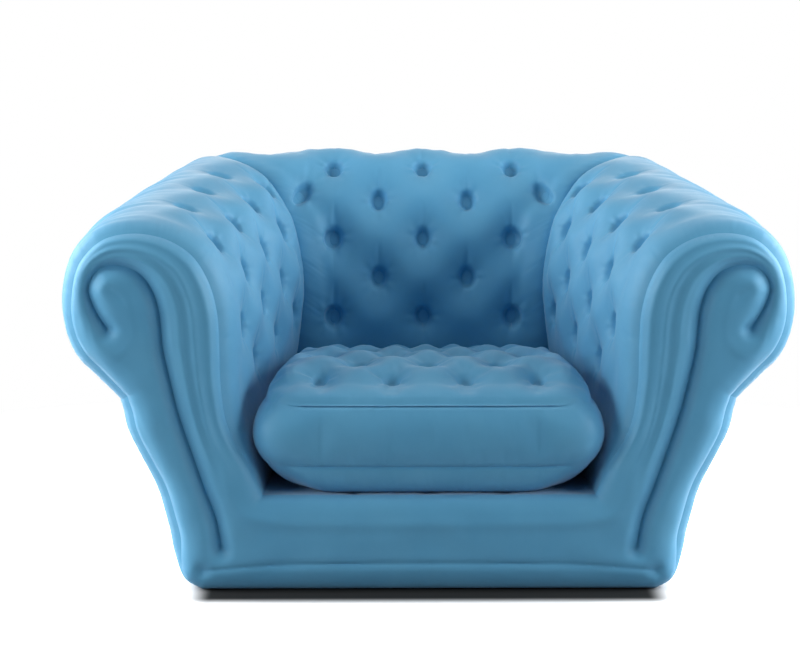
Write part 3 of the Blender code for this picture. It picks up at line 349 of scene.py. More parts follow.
# Webs inside
WEB_WALL = 0.0009
WEB_GAP = 0.0006
WEB_STATIONS = (3, 7, 11)
AIR_HOLE_RADIUS = 0.040
BEAM_HOLE_RADIUS = 0.045
BEAM_HOLE_SHARES = (0.2, 0.5, 0.8)
ROLL_HOLE_ROWS = (9, 24)
FLANK_HOLE_ROWS = (3, 28)
WEB_ROW_STEPS = 4
WEB_LEAST_GAP_SHARE = 0.97
BEAM_POINTS = 60
CUSHION_BEAM_ROWS = (4, 8, 12)
CUSHION_BEAM_END_COLUMN = 3
HOLE_SIDES = 48

# Valves, along their own axis from the panel's outer face
BODY_VALVE = (0.100, BACK_FOOT_Y + BACK_FLAT_SHARE * (BACK_NECK_Y - BACK_FOOT_Y), 0.190)
CUSHION_VALVE = (0, CUSHION_REAR_Y, CUSHION_FLOOR + (CUSHION_BASE_SEAM + CUSHION_TOP_SEAM) / 2)
VALVE_SEGMENTS = 64
VALVE_HOLE_RADIUS = 0.0208
VALVE_FIT = 0.0003
VALVE_FLANGE_RADIUS = 0.034
VALVE_FLANGE_WALL = 0.0012
NECK_RADIUS = 0.0205
NECK_BORE = 0.0170
NECK_HEIGHT = 0.0040
NECK_DEPTH = 0.0100
SEAL_WALL = 0.0010
PLUG_RADIUS = 0.0167
PLUG_BORE = 0.0125
PLUG_FLANGE_RADIUS = 0.0228
PLUG_FLANGE_WALL = 0.0014
PLUG_DEPTH = 0.0120
PLUG_NECK_RADIUS = 0.0155
PLUG_NECK_HEIGHT = 0.0036
CAP_SKIRT_WALL = 0.0034
CAP_DISC_WALL = 0.0014
CAP_STEM_RADIUS = 0.0060
CAP_KNOB_RADIUS = 0.0110
CAP_KNOB_WALL = 0.0018
THREAD_PITCH = 0.0020
THREAD_HEIGHT = 0.0005
THREAD_STEPS = 8
CAP_TURNS = 1.5
TETHER_WALL = 0.0012
TETHER_WIDTH = 0.0070
FLAP_RADIUS = 0.0146
FLAP_WALL = 0.0011
EDGE_ROUND = 0.00035
EDGE_ROUND_SHARE = 0.4
CUT_OFF_SHARE = 0.8
STRAP_OVERLAP = 0.0012
STRAP_FLAT_POINTS = 8
STRAP_BEND_STEPS = 6
STRAP_DROP_POINTS = 6
GRIP_RIBS = 30
GRIP_RIB_DEPTH = 0.0006
GRIP_RIB_SHARE = 0.42
GRIP_RIB_SEGMENTS = 8
GRIP_RIB_RINGS = 6

# Looks. Scales are those of the colour's clouds, of the roughness and of the grain. Grain is the
# bump's strength and depth
VINYL_PALE = (0.112, 0.400, 0.640, 1)
VINYL_DEEP = (0.094, 0.365, 0.605, 1)
WEB_PALE = (0.240, 0.460, 0.660, 1)
WEB_DEEP = (0.200, 0.410, 0.610, 1)
VALVE_PALE = (0.135, 0.335, 0.550, 1)
VALVE_DEEP = (0.110, 0.290, 0.500, 1)
RUBBER_PALE = (0.090, 0.100, 0.110, 1)
RUBBER_DEEP = (0.065, 0.072, 0.080, 1)
NOISE_SPREAD = (0.3, 0.7)
CLOUD_DETAIL = 4
ROUGH_DETAIL = 3
GRAIN_DETAIL = 2
GRAIN_ROUGHNESS = 0.6
VINYL_ROUGHNESS = (0.50, 0.62)
VINYL_SCALES = (9, 60, 900)
VINYL_GRAIN = (0.12, 0.0006)
VINYL_FINISH = {"Sheen Weight": 0.26, "Sheen Roughness": 0.5, "Specular IOR Level": 0.35}
VALVE_ROUGHNESS = (0.30, 0.40)
VALVE_SCALES = (45, 260, 1500)
VALVE_FINISH = {"Coat Weight": 0.15, "Coat Roughness": 0.30}
RUBBER_ROUGHNESS = (0.55, 0.70)
RUBBER_SCALES = (45, 260, 1200)
RUBBER_FINISH = {"Coat Weight": 0, "Coat Roughness": 0.30}
MOULDED_GRAIN = (0.10, 0.0003)

# The studio's lights: name, place, target, size and power
LIGHTS = (
    ("top_light", (0, -0.6, 3.2), (0, 0, 0.4), (2.2, 1.6), 14.5),
    ("left_low_light", (-2.8, -2.0, 1.2), (0, 0, 0.5), (1.2, 1.0), 27),
    ("right_low_light", (2.8, -2.0, 1.2), (0, 0, 0.5), (1.2, 1.0), 27),
    ("left_side_light", (-3.0, -0.35, 0.9), (-0.6, 0, 0.4), (1.2, 1.4), 38),
    ("right_side_light", (3.0, -0.35, 0.9), (0.6, 0, 0.4), (1.2, 1.4), 38),
    ("left_rear_light", (-2.8, 1.2, 1.4), (0, 0, 0.5), (1.2, 1.4), 47),
    ("right_rear_light", (2.8, 1.2, 1.4), (0, 0, 0.5), (1.2, 1.4), 47),
    ("left_upper_light", (-2.8, -0.6, 1.9), (0, 0, 0.5), (1.2, 1.2), 36),
    ("right_upper_light", (2.8, -0.6, 1.9), (0, 0, 0.5), (1.2, 1.2), 36),
)
WORLD_TINT = (0.92, 0.96, 1.0, 1)
WORLD_STRENGTH = 0.02
FLOOR_SEEN = (2.4, 2.4, 2.4, 1)
FLOOR_BOUNCE = (0.24, 0.25, 0.27, 1)
FLOOR_FADE = (1.1, 2.0)
# A shadow painted into the floor's colour: a soft dark rectangle under the chair, given by its
# middle, half sizes, softness and dark colour
PAINTED_SHADOW_MIDDLE = (0, -0.09)
PAINTED_SHADOW_HALF = (0.43, 0.445)
PAINTED_SHADOW_SOFTNESS = 0.09
PAINTED_SHADOW_COLOUR = (0.030, 0.032, 0.033, 1)
FLOOR_HALF = 14
FLOOR_Z = -0.0005

# The camera, as fitted to the photograph
FOCAL_LENGTH = 111.5
SENSOR_WIDTH = 36
CAMERA_PLACE = (-0.10, -5.29, 1.19)
CAMERA_PITCH = math.radians(7.8)
CAMERA_YAW = math.radians(0.50)


def smooth_step(low, high, value):
    share = np.clip((value - low) / (high - low), 0, 1)
    return share * share * (3 - 2 * share)


def hump(distance, reach):
    return np.exp(-((distance / reach) ** 2))


def new_object(name, data):
    obj = bpy.data.objects.new(name, data)
    bpy.context.scene.collection.objects.link(obj)
    return obj


def unit(vectors):
    return vectors / np.linalg.norm(vectors, axis=-1, keepdims=True)


def draw_in(depth, reach, distance):
    """How far a seam pulls the sheet in, at this distance from it: a quarter ellipse."""
    share = np.clip(1 - distance / reach, 0, 1)
    return depth * (1 - np.sqrt(1 - share * share))


# Cross sections


def spline(controls):
    """A smooth run of points through the controls."""
    controls = np.array(controls, float)
    lengths = np.linalg.norm(np.diff(controls, axis=0), axis=1)
    knots = np.concatenate([[0], np.cumsum(lengths)])
    slopes = np.gradient(controls, knots, axis=0)
    share = np.linspace(0, 1, SAMPLES_PER_SPAN, endpoint=False)[:, None]
    curve = []
    for i, length in enumerate(lengths):
        curve.append(
            (2 * share**3 - 3 * share**2 + 1) * controls[i]
            + (share**3 - 2 * share**2 + share) * length * slopes[i]
            + (3 * share**2 - 2 * share**3) * controls[i + 1]
            + (share**3 - share**2) * length * slopes[i + 1]
        )
    return np.vstack([*curve, controls[-1:]])


def placed(shares, start, end, low, high):
    return [(start + across * (end - start), low + up * (high - low)) for across, up in shares]


class Section:
    """A smooth cross section, read by row from the seat deck (0) to the floor."""

    def __init__(self, shares, start, reach, top, neck, foot, first_tuft_arc):
        inner, outer, flank = shares
        neck_out, neck_height = neck
        roll = placed(inner, start, reach, DECK_HEIGHT, top)
        roll += placed(outer, neck_out, reach, neck_height, top)
        self.curve = spline([*roll, *placed(flank, foot, neck_out, 0, neck_height)])
        steps = np.linalg.norm(np.diff(self.curve, axis=0), axis=1)
        self.arcs = np.concatenate([[0], np.cumsum(steps)])
        neck = self.arcs[len(roll) * SAMPLES_PER_SPAN]
        last_even = first_tuft_arc + (neck - first_tuft_arc) * EVEN_ROWS_SHARE
        self.row_marks = (0, FIRST_TUFT_ROW, LAST_EVEN_ROW, NECK_ROW, FLOOR_ROW)
        self.arc_marks = (0, first_tuft_arc, last_even, neck, self.arcs[-1])

    def arc(self, row):
        """The way over the section, from the seat deck to this row."""
        return np.interp(row, self.row_marks, self.arc_marks)

    def at(self, row):
        arc = self.arc(row)
        across = np.interp(arc, self.arcs, self.curve[:, 0])
        up = np.interp(arc, self.arcs, self.curve[:, 1])
        return across, up


ARM_SECTION = Section(
    (ARM_INNER_SHARES, ARM_OUTER_SHARES, ARM_FLANK_SHARES),
    WELL_FRONT_HALF,
    WIDTH / 2,
    ARM_FRONT_HEIGHT - PUFF,
    (ARM_NECK_HALF, BACK_NECK_HEIGHT - ARM_NECK_DROP),
    ARM_FOOT_HALF,
    ARM_FIRST_TUFT_ARC,
)
CORNER_SECTION = Section(
    (CORNER_INNER_SHARES, CORNER_OUTER_SHARES, CORNER_FLANK_SHARES),
    WELL_REAR_HALF,
    CORNER_REACH_HALF,
    CORNER_HEIGHT,
    (CORNER_NECK_HALF, BACK_NECK_HEIGHT),
    CORNER_FOOT_HALF,
    CORNER_FIRST_TUFT_ARC,
)
BACK_SECTION = Section(
    (BACK_INNER_SHARES, BACK_OUTER_SHARES, BACK_FLANK_SHARES),
    BACK_FACE_Y,
    DEPTH / 2,
    BACK_HEIGHT - PUFF,
    (BACK_NECK_Y, BACK_NECK_HEIGHT),
    BACK_FOOT_Y,
    BACK_FIRST_TUFT_ARC,
)


# The arm and the back without tufts


def mitre_y(across):
    return WELL_REAR_Y + MITRE_SLOPE * (across - WELL_REAR_HALF)


def arm_base(station, row):
    """The right arm without tufts. Stations run back from the front seam to the mitre."""
    front_x, front_z = ARM_SECTION.at(row)
    rear_x, rear_z = CORNER_SECTION.at(row)
    rear_y = mitre_y(rear_x)
    step = ARM_PITCH / STEPS_PER_PITCH
    straight_y = FRONT_SEAM_Y + step * np.minimum(station, ARM_STRAIGHT)
    fan = np.maximum(station - ARM_STRAIGHT, 0) / ARM_FAN
    y = straight_y + (rear_y - straight_y) * fan
    share = (y - FRONT_SEAM_Y) / (rear_y - FRONT_SEAM_Y)
    power = 1 + ARM_HOLD * smooth_step(*HOLD_ROWS, row)
    x = front_x + (rear_x - front_x) * np.maximum(share, 0) ** power
    z = front_z + (rear_z - front_z) * share
    return np.stack([x, y, z], axis=-1)


def back_base(station, row):
    """The back without tufts. Stations run from the left mitre to the right one, with 0 between."""
    y, z = BACK_SECTION.at(row)
    rear_x, rear_z = CORNER_SECTION.at(row)
    step = BACK_PITCH / STEPS_PER_PITCH
    side = np.sign(station)
    straight_x = step * np.minimum(np.abs(station), BACK_STRAIGHT)
    fan = np.maximum(np.abs(station) - BACK_STRAIGHT, 0) / BACK_FAN
    x = straight_x + (rear_x - straight_x) * fan
    power = BACK_BASE_HOLD + BACK_HOLD * smooth_step(*HOLD_ROWS, row)
    y = y + (mitre_y(rear_x) - y) * fan**power
    z = z + (rear_z - z) * fan**power
    return np.stack([side * x, y, z], axis=-1)


def tangents(base, station, row):
    """The surface's steps for one station and for one row."""
    along = base(station + NORMAL_STEP, row) - base(station - NORMAL_STEP, row)
    low = np.maximum(row - NORMAL_STEP, 0)
    high = np.minimum(row + NORMAL_STEP, FLOOR_ROW)
    up = (base(station, high) - base(station, low)) / (high - low)[..., None]
    return along / (2 * NORMAL_STEP), up


def corner_normal(row):
    """The way out of the corner section, in the plane of the mitre."""
    low_x, low_z = CORNER_SECTION.at(np.maximum(row - NORMAL_STEP, 0))
    high_x, high_z = CORNER_SECTION.at(np.minimum(row + NORMAL_STEP, FLOOR_ROW))
    stretch = math.hypot(1, MITRE_SLOPE)
    out = unit(np.stack([low_z - high_z, (high_x - low_x) * stretch], axis=-1))
    x = out[..., 0] / stretch
    return np.stack([x, x * MITRE_SLOPE, out[..., 1]], axis=-1)


def seam_window(row):
    """1 over the free surface, falling to 0 at the deck and at the floor."""
    low, high = SEAM_FADE_ROWS
    return smooth_step(0, low, row) * (1 - smooth_step(FLOOR_ROW - high, FLOOR_ROW, row))


def tuft_rows(row, last):
    """1 over the tufted rows, falling to 0 below the first and past the last of them."""
    low, high = TUFT_FADE_ROWS
    start = smooth_step(FIRST_TUFT_ROW - low, FIRST_TUFT_ROW, row)
    return start * (1 - smooth_step(last, last + high, row))


# Fine relief


def oval_distance(along, up, out=0):
    """The distance from a tuft's middle, measured so that its oval is a circle."""
    return np.sqrt((along / OVAL_ACROSS) ** 2 + (up / OVAL_UP) ** 2 + out**2)


def dimple(distance):
    """Share of a tuft's depth: flat on its oval weld, a steep wall round it, then a soft slope."""
    wall = 1 - smooth_step(WELD_RADIUS, TUFT_WALL_RADIUS, distance)
    slope = np.clip((distance - WELD_RADIUS) / (DIMPLE_REACH - WELD_RADIUS), 0, 1)
    return TUFT_WALL_SHARE * wall + (1 - TUFT_WALL_SHARE) * (1 - slope) ** DIMPLE_POWER


def pucker(along, up, turn):
    """Small folds that run out from a tuft's weld, turned from one tuft to the next."""
    distance = oval_distance(along, up)
    angle = np.arctan2(up, along)
    few, many = PUCKER_FOLDS
    fine = np.cos(many * angle + PUCKER_FINE_TURN * turn)
    folds = np.cos(few * angle + turn) + PUCKER_FINE_SHARE * fine
    return PUCKER_HEIGHT * hump(distance - PUCKER_REACH, PUCKER_SPREAD) * folds


def streak(along, up):
    """The slack crease that runs up from a tuft's weld."""
    rise = smooth_step(*STREAK_START, up) * (1 - smooth_step(*STREAK_END, up))
    return -STREAK_DEPTH * hump(along, STREAK_HALF) * rise


def pleats(along, away, seed):
    """Small creases that run square to a seam and die out away from it."""
    source = np.random.default_rng(seed)
    total = np.zeros_like(away)
    for wave in PLEAT_WAVES:
        phase = source.uniform(0, math.tau)
        drift = source.uniform(-PLEAT_DRIFT, PLEAT_DRIFT)
        total = total + np.sin(math.tau * (along + drift * away) / wave + phase)
    fade = hump(away, PLEAT_REACH) * smooth_step(0, FLANGE * 3, away)
    return PLEAT_DEPTH * total / len(PLEAT_WAVES) * fade


def wander(points, scale, seed):
    """Smooth seeded noise, mostly from -1 to 1. Scale is the size of its waves."""
    source = np.random.default_rng(seed)
    total = 0
    for _ in range(WANDER_WAVES):
        direction = unit(source.normal(size=points.shape[-1]))
        turns = source.uniform(*WANDER_TURNS)
        waves = math.tau * turns * (points / scale) @ direction
        total = total + np.sin(waves + source.uniform(0, WANDER_PHASE))
    return total / math.sqrt(WANDER_WAVES)


def stretched(along, across, waves):
    """Places for noise whose waves have one length along a surface and one across it."""
    return np.stack([along / waves[0], across / waves[1]], axis=-1)


def arm_surface(station, row):
    point = arm_base(station, row)
    along, up = tangents(arm_base, station, row)
    normal = unit(-np.cross(along, up))
    arc = ARM_SECTION.arc(row)
    to_front = point[..., 1] - FRONT_SEAM_Y
    to_corner = arm_corner_gap(station, row)
    height = relief(point, station, row, point[..., 1], arc, to_corner, ARM_TUFTS)
    height = height + pleats(arc, to_front, ARM_FRONT_PLEATS) * seam_window(row)
    creases = pleats(CORNER_SECTION.arc(row), to_corner, ARM_CORNER_PLEATS)
    height = height + creases * seam_window(row)
    flat = unit(normal * (1, 0, 1))
    drawn = draw_in(FRONT_PINCH, FRONT_PINCH_REACH, np.maximum(to_front - FLANGE, 0))
    front = seam_window(row) * drawn
    return (
        point
        + height[..., None] * normal
        - front[..., None] * flat
        - corner_pinch(row, to_corner)[..., None] * corner_normal(row)
    )


def back_surface(station, row):
    point = back_base(station, row)
    along, up = tangents(back_base, station, row)
    normal = unit(np.cross(along, up))
    arc = BACK_SECTION.arc(row)
    to_corner = back_corner_gap(station, row)
    height = relief(point, station, row, point[..., 0], arc, to_corner, BACK_TUFTS)
    creases = pleats(CORNER_SECTION.arc(row), to_corner, BACK_CORNER_PLEATS)
    height = height + creases * seam_window(row)
    side = np.stack([np.sign(station), np.ones_like(station), np.ones_like(station)], axis=-1)
    corner = corner_pinch(row, to_corner)
    return point + height[..., None] * normal - corner[..., None] * side * corner_normal(row)


def arm_corner_gap(station, row):
    return mitre_y(CORNER_SECTION.at(row)[0]) - arm_base(station, row)[..., 1]


def back_corner_gap(station, row):
    return CORNER_SECTION.at(row)[0] - np.abs(back_base(station, row)[..., 0])


def corner_pinch(row, to_corner):
    away = np.maximum(to_corner - FLANGE, 0)
    return seam_window(row) * draw_in(CORNER_PINCH, CORNER_PINCH_REACH, away)


class Tufts:
    """Where a panel's tufts are: their first station and row, and the last row of them."""

    def __init__(
        self, base, section, first, last_row, least_station, corner_gap, fade, last_share
    ):
        self.base = base
        self.section = section
        self.first = first
        self.last_row = last_row
        self.least_station = least_station
        self.corner_gap = corner_gap
        self.fade = fade
        self.last_share = last_share
        self.found = None

    def strength(self, station, row):
        """1 on a tuft that is there, less on the last row, 0 where there is none."""
        gap = self.corner_gap(station, row)
        there = smooth_step(*TUFT_CLEARANCE, gap)
        there = there * (tuft_rows(row, self.last_row) > 0.5) * (station >= self.least_station)
        return there * np.where(row > self.last_row - 1, self.last_share, 1)

    def places(self, least=DISC_LEAST_STRENGTH):
        """The station and row of every tuft of at least this strength."""
        half = STEPS_PER_PITCH // 2
        found = []
        for row in range(FIRST_TUFT_ROW, self.last_row + 1, half):
            for station in range(-BACK_MITRE, ARM_MITRE + 1):
                along = station - self.first[0]
                up = row - self.first[1]
                if along % half == 0 and up % half == 0 and (along + up) % STEPS_PER_PITCH == 0:
                    if self.strength(np.array(float(station)), np.array(float(row))) > least:
                        found.append((float(station), float(row)))
        return np.array(found)

    def seats(self):
        """Each tuft's place on the plain surface, the ways along and up it, strength and turn."""
        if self.found is None:
            station, row = self.places(TUFT_LEAST_STRENGTH).T
            along, up = tangents(self.base, station, row)
            places = self.base(station, row)
            turns = TUFT_TURNS[0] * station + TUFT_TURNS[1] * row
            strengths = self.strength(station, row)
            self.found = list(zip(places, unit(along), unit(up), strengths, turns))
        return self.found


ARM_TUFTS = Tufts(
    arm_base, ARM_SECTION, (ARM_TUFT_STATION, ARM_TUFT_ROW), ARM_LAST_TUFT_ROW,
    ARM_TUFT_STATION, arm_corner_gap, TUFT_FADE_STATIONS, LAST_ARM_ROW_SHARE,
)
BACK_TUFTS = Tufts(
    back_base, BACK_SECTION, (0, FIRST_TUFT_ROW), BACK_LAST_TUFT_ROW, -BACK_MITRE,
    back_corner_gap, None, LAST_BACK_ROW_SHARE,
)


def relief(point, station, row, length, arc, to_corner, tufts):
    """Tufts, the pillows between them and slack ripples, as a height off the surface.

    Length runs along the roll and arc over it, both in metres.
    """
    quarter = math.tau / STEPS_PER_PITCH
    first_station, first_row = tufts.first
    pattern = np.cos(quarter * (station - first_station)) * np.cos(quarter * (row - first_row))
    pillow = tuft_rows(row, tufts.last_row) * smooth_step(TUFT_FADE_START, TUFT_FADE_END, to_corner)
    if tufts.fade:
        pillow = pillow * smooth_step(*tufts.fade, station)
    drawn = np.zeros(point.shape[:-1])
    for place, along_way, up_way, strength, turn in tufts.seats():
        away = point - place
        along, up = away @ along_way, away @ up_way
        out = away @ np.cross(along_way, up_way)
        tuft = (PUFF - TUFT_DEPTH) * dimple(oval_distance(along, up, out))
        fold = (streak(along, up) + pucker(along, up, turn)) * (np.abs(out) < DIMPLE_REACH)
        drawn = drawn + strength * (tuft + fold)
    low, high, fall, end = GATHER_ROWS
    slack = wander(stretched(length, arc, GATHER_WAVES), 1.0, SLACK_SEED)
    slack = slack * GATHER_HEIGHT * smooth_step(low, high, row) * (1 - smooth_step(fall, end, row))
    broad = wander(point, BROAD_WAVE, BROAD_SEED) * GATHER_HEIGHT * BROAD_SHARE
    broad = broad * seam_window(row)
    neck = arc - tufts.section.arc(NECK_ROW)
    seam = -NECK_SEAM_DEPTH * hump(neck, NECK_SEAM_HALF)
    gather = wander(stretched(length, neck, NECK_WAVES), 1.0, NECK_SEED)
    seam = seam + NECK_PLEAT_HEIGHT * gather * hump(neck, PLEAT_REACH)
    to_valve = np.linalg.norm(point - BODY_VALVE, axis=-1)
    calm = smooth_step(VALVE_CALM_START, VALVE_CALM_END, to_valve)
    return -PUFF * pattern * pillow + drawn + (slack + broad + seam) * calm


# Meshes


def wall_mesh(name, points, faces, material, wall=WALL):
    """A thin closed sheet: the outer faces, the same faces a wall further in, and a rim."""
    points = np.asarray(points, float)
    triangles = [(f[0], f[k], f[k + 1]) for f in faces for k in range(1, len(f) - 1)]
    triangles = np.array(triangles)
    a, b, c = (points[triangles[:, k]] for k in range(3))
    crossed = np.cross(b - a, c - a)
    total = np.zeros_like(points)
    for k in range(3):
        np.add.at(total, triangles[:, k], crossed)
    inner = points - unit(total) * wall
    count = len(points)
    edges = {}
    for face in faces:
        for k, start in enumerate(face):
            edges[(start, face[(k + 1) % len(face)])] = True
    rim = [edge for edge in edges if (edge[1], edge[0]) not in edges]
    cells = [list(face) for face in faces]
    cells += [[i + count for i in reversed(face)] for face in faces]
    cells += [[e, s, s + count, e + count] for s, e in rim]
    return add_mesh(name, np.vstack([points, inner]), cells, material)


def add_mesh(name, points, faces, material, angle=SMOOTH_ANGLE):
    mesh = bpy.data.meshes.new(name)
    mesh.from_pydata(np.asarray(points, float).tolist(), [], faces)
    mesh.materials.append(material)
    mesh.shade_smooth()
    mesh.set_sharp_from_angle(angle=math.radians(angle))
    return new_object(name, mesh)


def grid_faces(rows, columns, flip=False):
    faces = []
    for i in range(rows - 1):
        for j in range(columns - 1):
            a = i * columns + j
            face = [a, a + 1, a + columns + 1, a + columns]
            faces.append(face[::-1] if flip else face)
    return faces


def chair_piece(obj, *nodes, slot="soft_touch_vinyl", body="chair"):
    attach(obj, body)
    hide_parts(*nodes)
    return obj


def mirrored(points):
    return np.asarray(points) * (-1, 1, 1)


def crowded(first, last, phase, fine=FINE):
    """Sample places, closer together at every second step, where the tufts are."""
    places = np.linspace(first, last, round((last - first) * fine) + 1)
    return places - TUFT_CROWDING * np.sin(math.pi * (places - phase)) / math.pi


def open_hole(points, faces, centre, radius):
    """Leaves out the faces in a round hole and draws the edge that is left onto the hole."""
    points = np.array(points, float)
    away = points - centre
    beside = np.linalg.norm(away[:, [0, 2]], axis=1)
    near = (np.abs(away[:, 1]) < radius) & (beside < radius)
    kept = [face for face in faces if not all(near[i] for i in face)]
    used = sorted({i for face in kept for i in face})
    for i in used:
        if near[i]:
            points[i, [0, 2]] = np.array(centre)[[0, 2]] + away[i, [0, 2]] * radius / beside[i]
    place = {i: k for k, i in enumerate(used)}
    return points[used], [[place[i] for i in face] for face in kept]


def arm_stations():
    stations = crowded(0, ARM_MITRE, ARM_TUFT_STATION)
    stations[0], stations[-1] = 0, ARM_MITRE
    return stations


def back_stations():
    return crowded(-BACK_MITRE, BACK_MITRE, 0)


def add_arms_and_back(material):
    beside, behind_seat = arm_stations(), back_stations()
    for panel, first, last in (("tufted", 0, NECK_ROW), ("outer", NECK_ROW, FLOOR_ROW)):
        if panel == "tufted":
            rows = crowded(first, last, FIRST_TUFT_ROW)
            rows[0], rows[-1] = first, last
        else:
            rows = np.linspace(first, last, (last - first) * FINE + 1)
        arm = arm_surface(*np.meshgrid(beside, rows)).reshape(-1, 3)
        back = back_surface(*np.meshgrid(behind_seat, rows)).reshape(-1, 3)
        across = grid_faces(len(rows), len(beside))
        turned_round = grid_faces(len(rows), len(beside), flip=True)
        behind = grid_faces(len(rows), len(behind_seat))
        if panel == "outer":
            back, behind = open_hole(back, behind, BODY_VALVE, VALVE_HOLE_RADIUS)
        for side, points, faces in (
            ("right", arm, turned_round), ("left", mirrored(arm), across),
        ):
            name = f"arm_{side}_{panel}"
            chair_piece(wall_mesh(f"{name}_skin", points, faces, material), f"{name}_panel")
        name = f"back_{panel}"
        chair_piece(wall_mesh(f"{name}_skin", back, behind, material), f"{name}_panel")


# Seat deck and base


def valley(x, y, depth):
    """How far the beams draw a level panel in, at this place."""
    near = np.min([np.abs(x - place) for place in BEAM_PLACES], axis=0)
    front, rear = FRONT_SEAM_Y + BEAM_END_GAP, BACK_FACE_Y - BEAM_END_GAP
    inner = smooth_step(front - BEAM_END_FADE / 2, front, y)
    inner = inner * (1 - smooth_step(rear, rear + BEAM_END_FADE / 2, y))
    return draw_in(depth, VALLEY_REACH, near) * inner


def level_loop(front, row):
    """The edge of a level panel, anticlockwise: its front points, then one row of the skin."""
    stations = arm_stations()
    arm = arm_surface(stations, np.full(len(stations), float(row)))
    stations = back_stations()
    back = back_surface(stations, np.full(len(stations), float(row)))
    return np.vstack([front, arm, back[::-1][1:-1], mirrored(arm)[::-1]])


def filled(outline, spacing):
    """Points and triangles over a flat outline, with an even grid inside it."""
    low, high = outline.min(axis=0), outline.max(axis=0)
    across = np.arange(low[0] + spacing / 2, high[0], spacing)
    up = np.arange(low[1] + spacing / 2, high[1], spacing)
    grid = np.stack(np.meshgrid(across, up), axis=-1).reshape(-1, 2)
    clear = outline_distance(grid, outline) > spacing * GRID_CLEARANCE
    grid = grid[inside(grid, outline) & clear]
    points = np.vstack([outline, grid])
    return points, fill(points, [list(range(len(outline)))])


def add_level_panel(name, loop, height, depth, node, material, turn):
    """A level panel, quilted where the beams are welded to it. Turn is 1 facing up, -1 down."""
    points, faces = filled(loop[:, :2], LEVEL_GRID)
    drawn = valley(points[:, 0], points[:, 1], depth)
    edge = outline_distance(points, loop[:, :2])
    crease = LEVEL_CREASE * (1 + wander(points, LEVEL_CREASE_WAVE, LEVEL_SEED))
    crease = crease * smooth_step(0, LEVEL_CREASE_START, edge)
    z = height - turn * (drawn + np.maximum(crease, 0))
    place = np.column_stack([points, z])
    faces = faces if turn > 0 else [face[::-1] for face in faces]
    chair_piece(wall_mesh(name, place, faces, material), node)


def add_deck_and_base(material):
    for name, half, count, row, height, depth, node, turn in (
        ("seat_deck_skin", WELL_FRONT_HALF, DECK_FRONT_POINTS, 0, DECK_HEIGHT, DECK_VALLEY,
         "seat_deck_panel", 1),
        ("base_skin", ARM_FOOT_HALF, BASE_FRONT_POINTS, FLOOR_ROW, 0, BASE_VALLEY,
         "base_panel", -1),
    ):
        across = np.linspace(-half, half, count)[1:-1]
        front = np.column_stack([across, np.full(len(across), FRONT_SEAM_Y), across * 0])
        add_level_panel(name, level_loop(front, row), height, depth, node, material, turn)


# Webs inside


def ring(centre, radius, count):
    angles = [math.tau * k / count for k in range(count)]
    return [(centre[0] + radius * math.cos(a), centre[1] + radius * math.sin(a)) for a in angles]


def fill(points, outlines):
    """Triangles over the area inside the first outline and outside the others."""
    edges = []
    for outline in outlines:
        edges += [(outline[i - 1], outline[i]) for i in range(len(outline))]
    flat = [Vector((float(x), float(y))) for x, y in points]
    result = delaunay_2d_cdt(flat, edges, [], 0, JOIN_DISTANCE)
    faces = [[result[3][i][0] for i in face] for face in result[2]]
    points = np.asarray(points, float)
    middles = points[np.array(faces)].mean(axis=1)
    keep = inside(middles, points[outlines[0]])
    for hole in outlines[1:]:
        keep &= ~inside(middles, points[hole])
    return [face for face, kept in zip(faces, keep) if kept]


def pulled_in(outline, distance):
    """An anticlockwise outline moved inward. What would double back is left out."""
    run = np.roll(outline, -1, axis=0) - np.roll(outline, 1, axis=0)
    moved = outline + unit(np.stack([-run[:, 1], run[:, 0]], axis=-1)) * distance
    return moved[outline_distance(moved, outline) > distance * WEB_LEAST_GAP_SHARE]


def inner_web(name, outline, holes, place, across, material, node, body="chair"):
    """A flat web with round air holes. Place maps the outline's plane to the chair."""
    points = [tuple(point) for point in outline]
    loops = [list(range(len(points)))]
    for centre, radius in holes:
        loops.append(list(range(len(points), len(points) + HOLE_SIDES)))
        points += ring(centre, radius, HOLE_SIDES)
    faces = fill(points, loops)
    half = np.array(across, float) * WEB_WALL / 2
    middle = np.array([place(a, b) for a, b in points], float)
    a, b, c = middle[faces[0]]
    if np.cross(b - a, c - a) @ half < 0:
        faces = [face[::-1] for face in faces]
    obj = wall_mesh(name, middle + half, faces, material, wall=WEB_WALL)
    chair_piece(obj, node, slot="web_vinyl", body=body)


def beam_holes(start, end, height):
    places = [start + (end - start) * share for share in BEAM_HOLE_SHARES]
    return [((place, height), BEAM_HOLE_RADIUS) for place in places]


def section_web(name, outline, place, across, material):
    """A web in a cross section, with one air hole in the roll and one in the flank."""
    loop = np.array([(outline[0][0], 0), *outline[::-1]])
    loop = pulled_in(loop, WALL + WEB_GAP)
    first, last = (row * WEB_ROW_STEPS for row in ROLL_HOLE_ROWS)
    roll = tuple(np.mean(outline[first:last], axis=0))
    flank = tuple(np.mean([outline[row * WEB_ROW_STEPS] for row in FLANK_HOLE_ROWS], axis=0))
    holes = ((roll, AIR_HOLE_RADIUS), (flank, AIR_HOLE_RADIUS))
    inner_web(f"{name}_sheet", loop, holes, place, across, material, name)


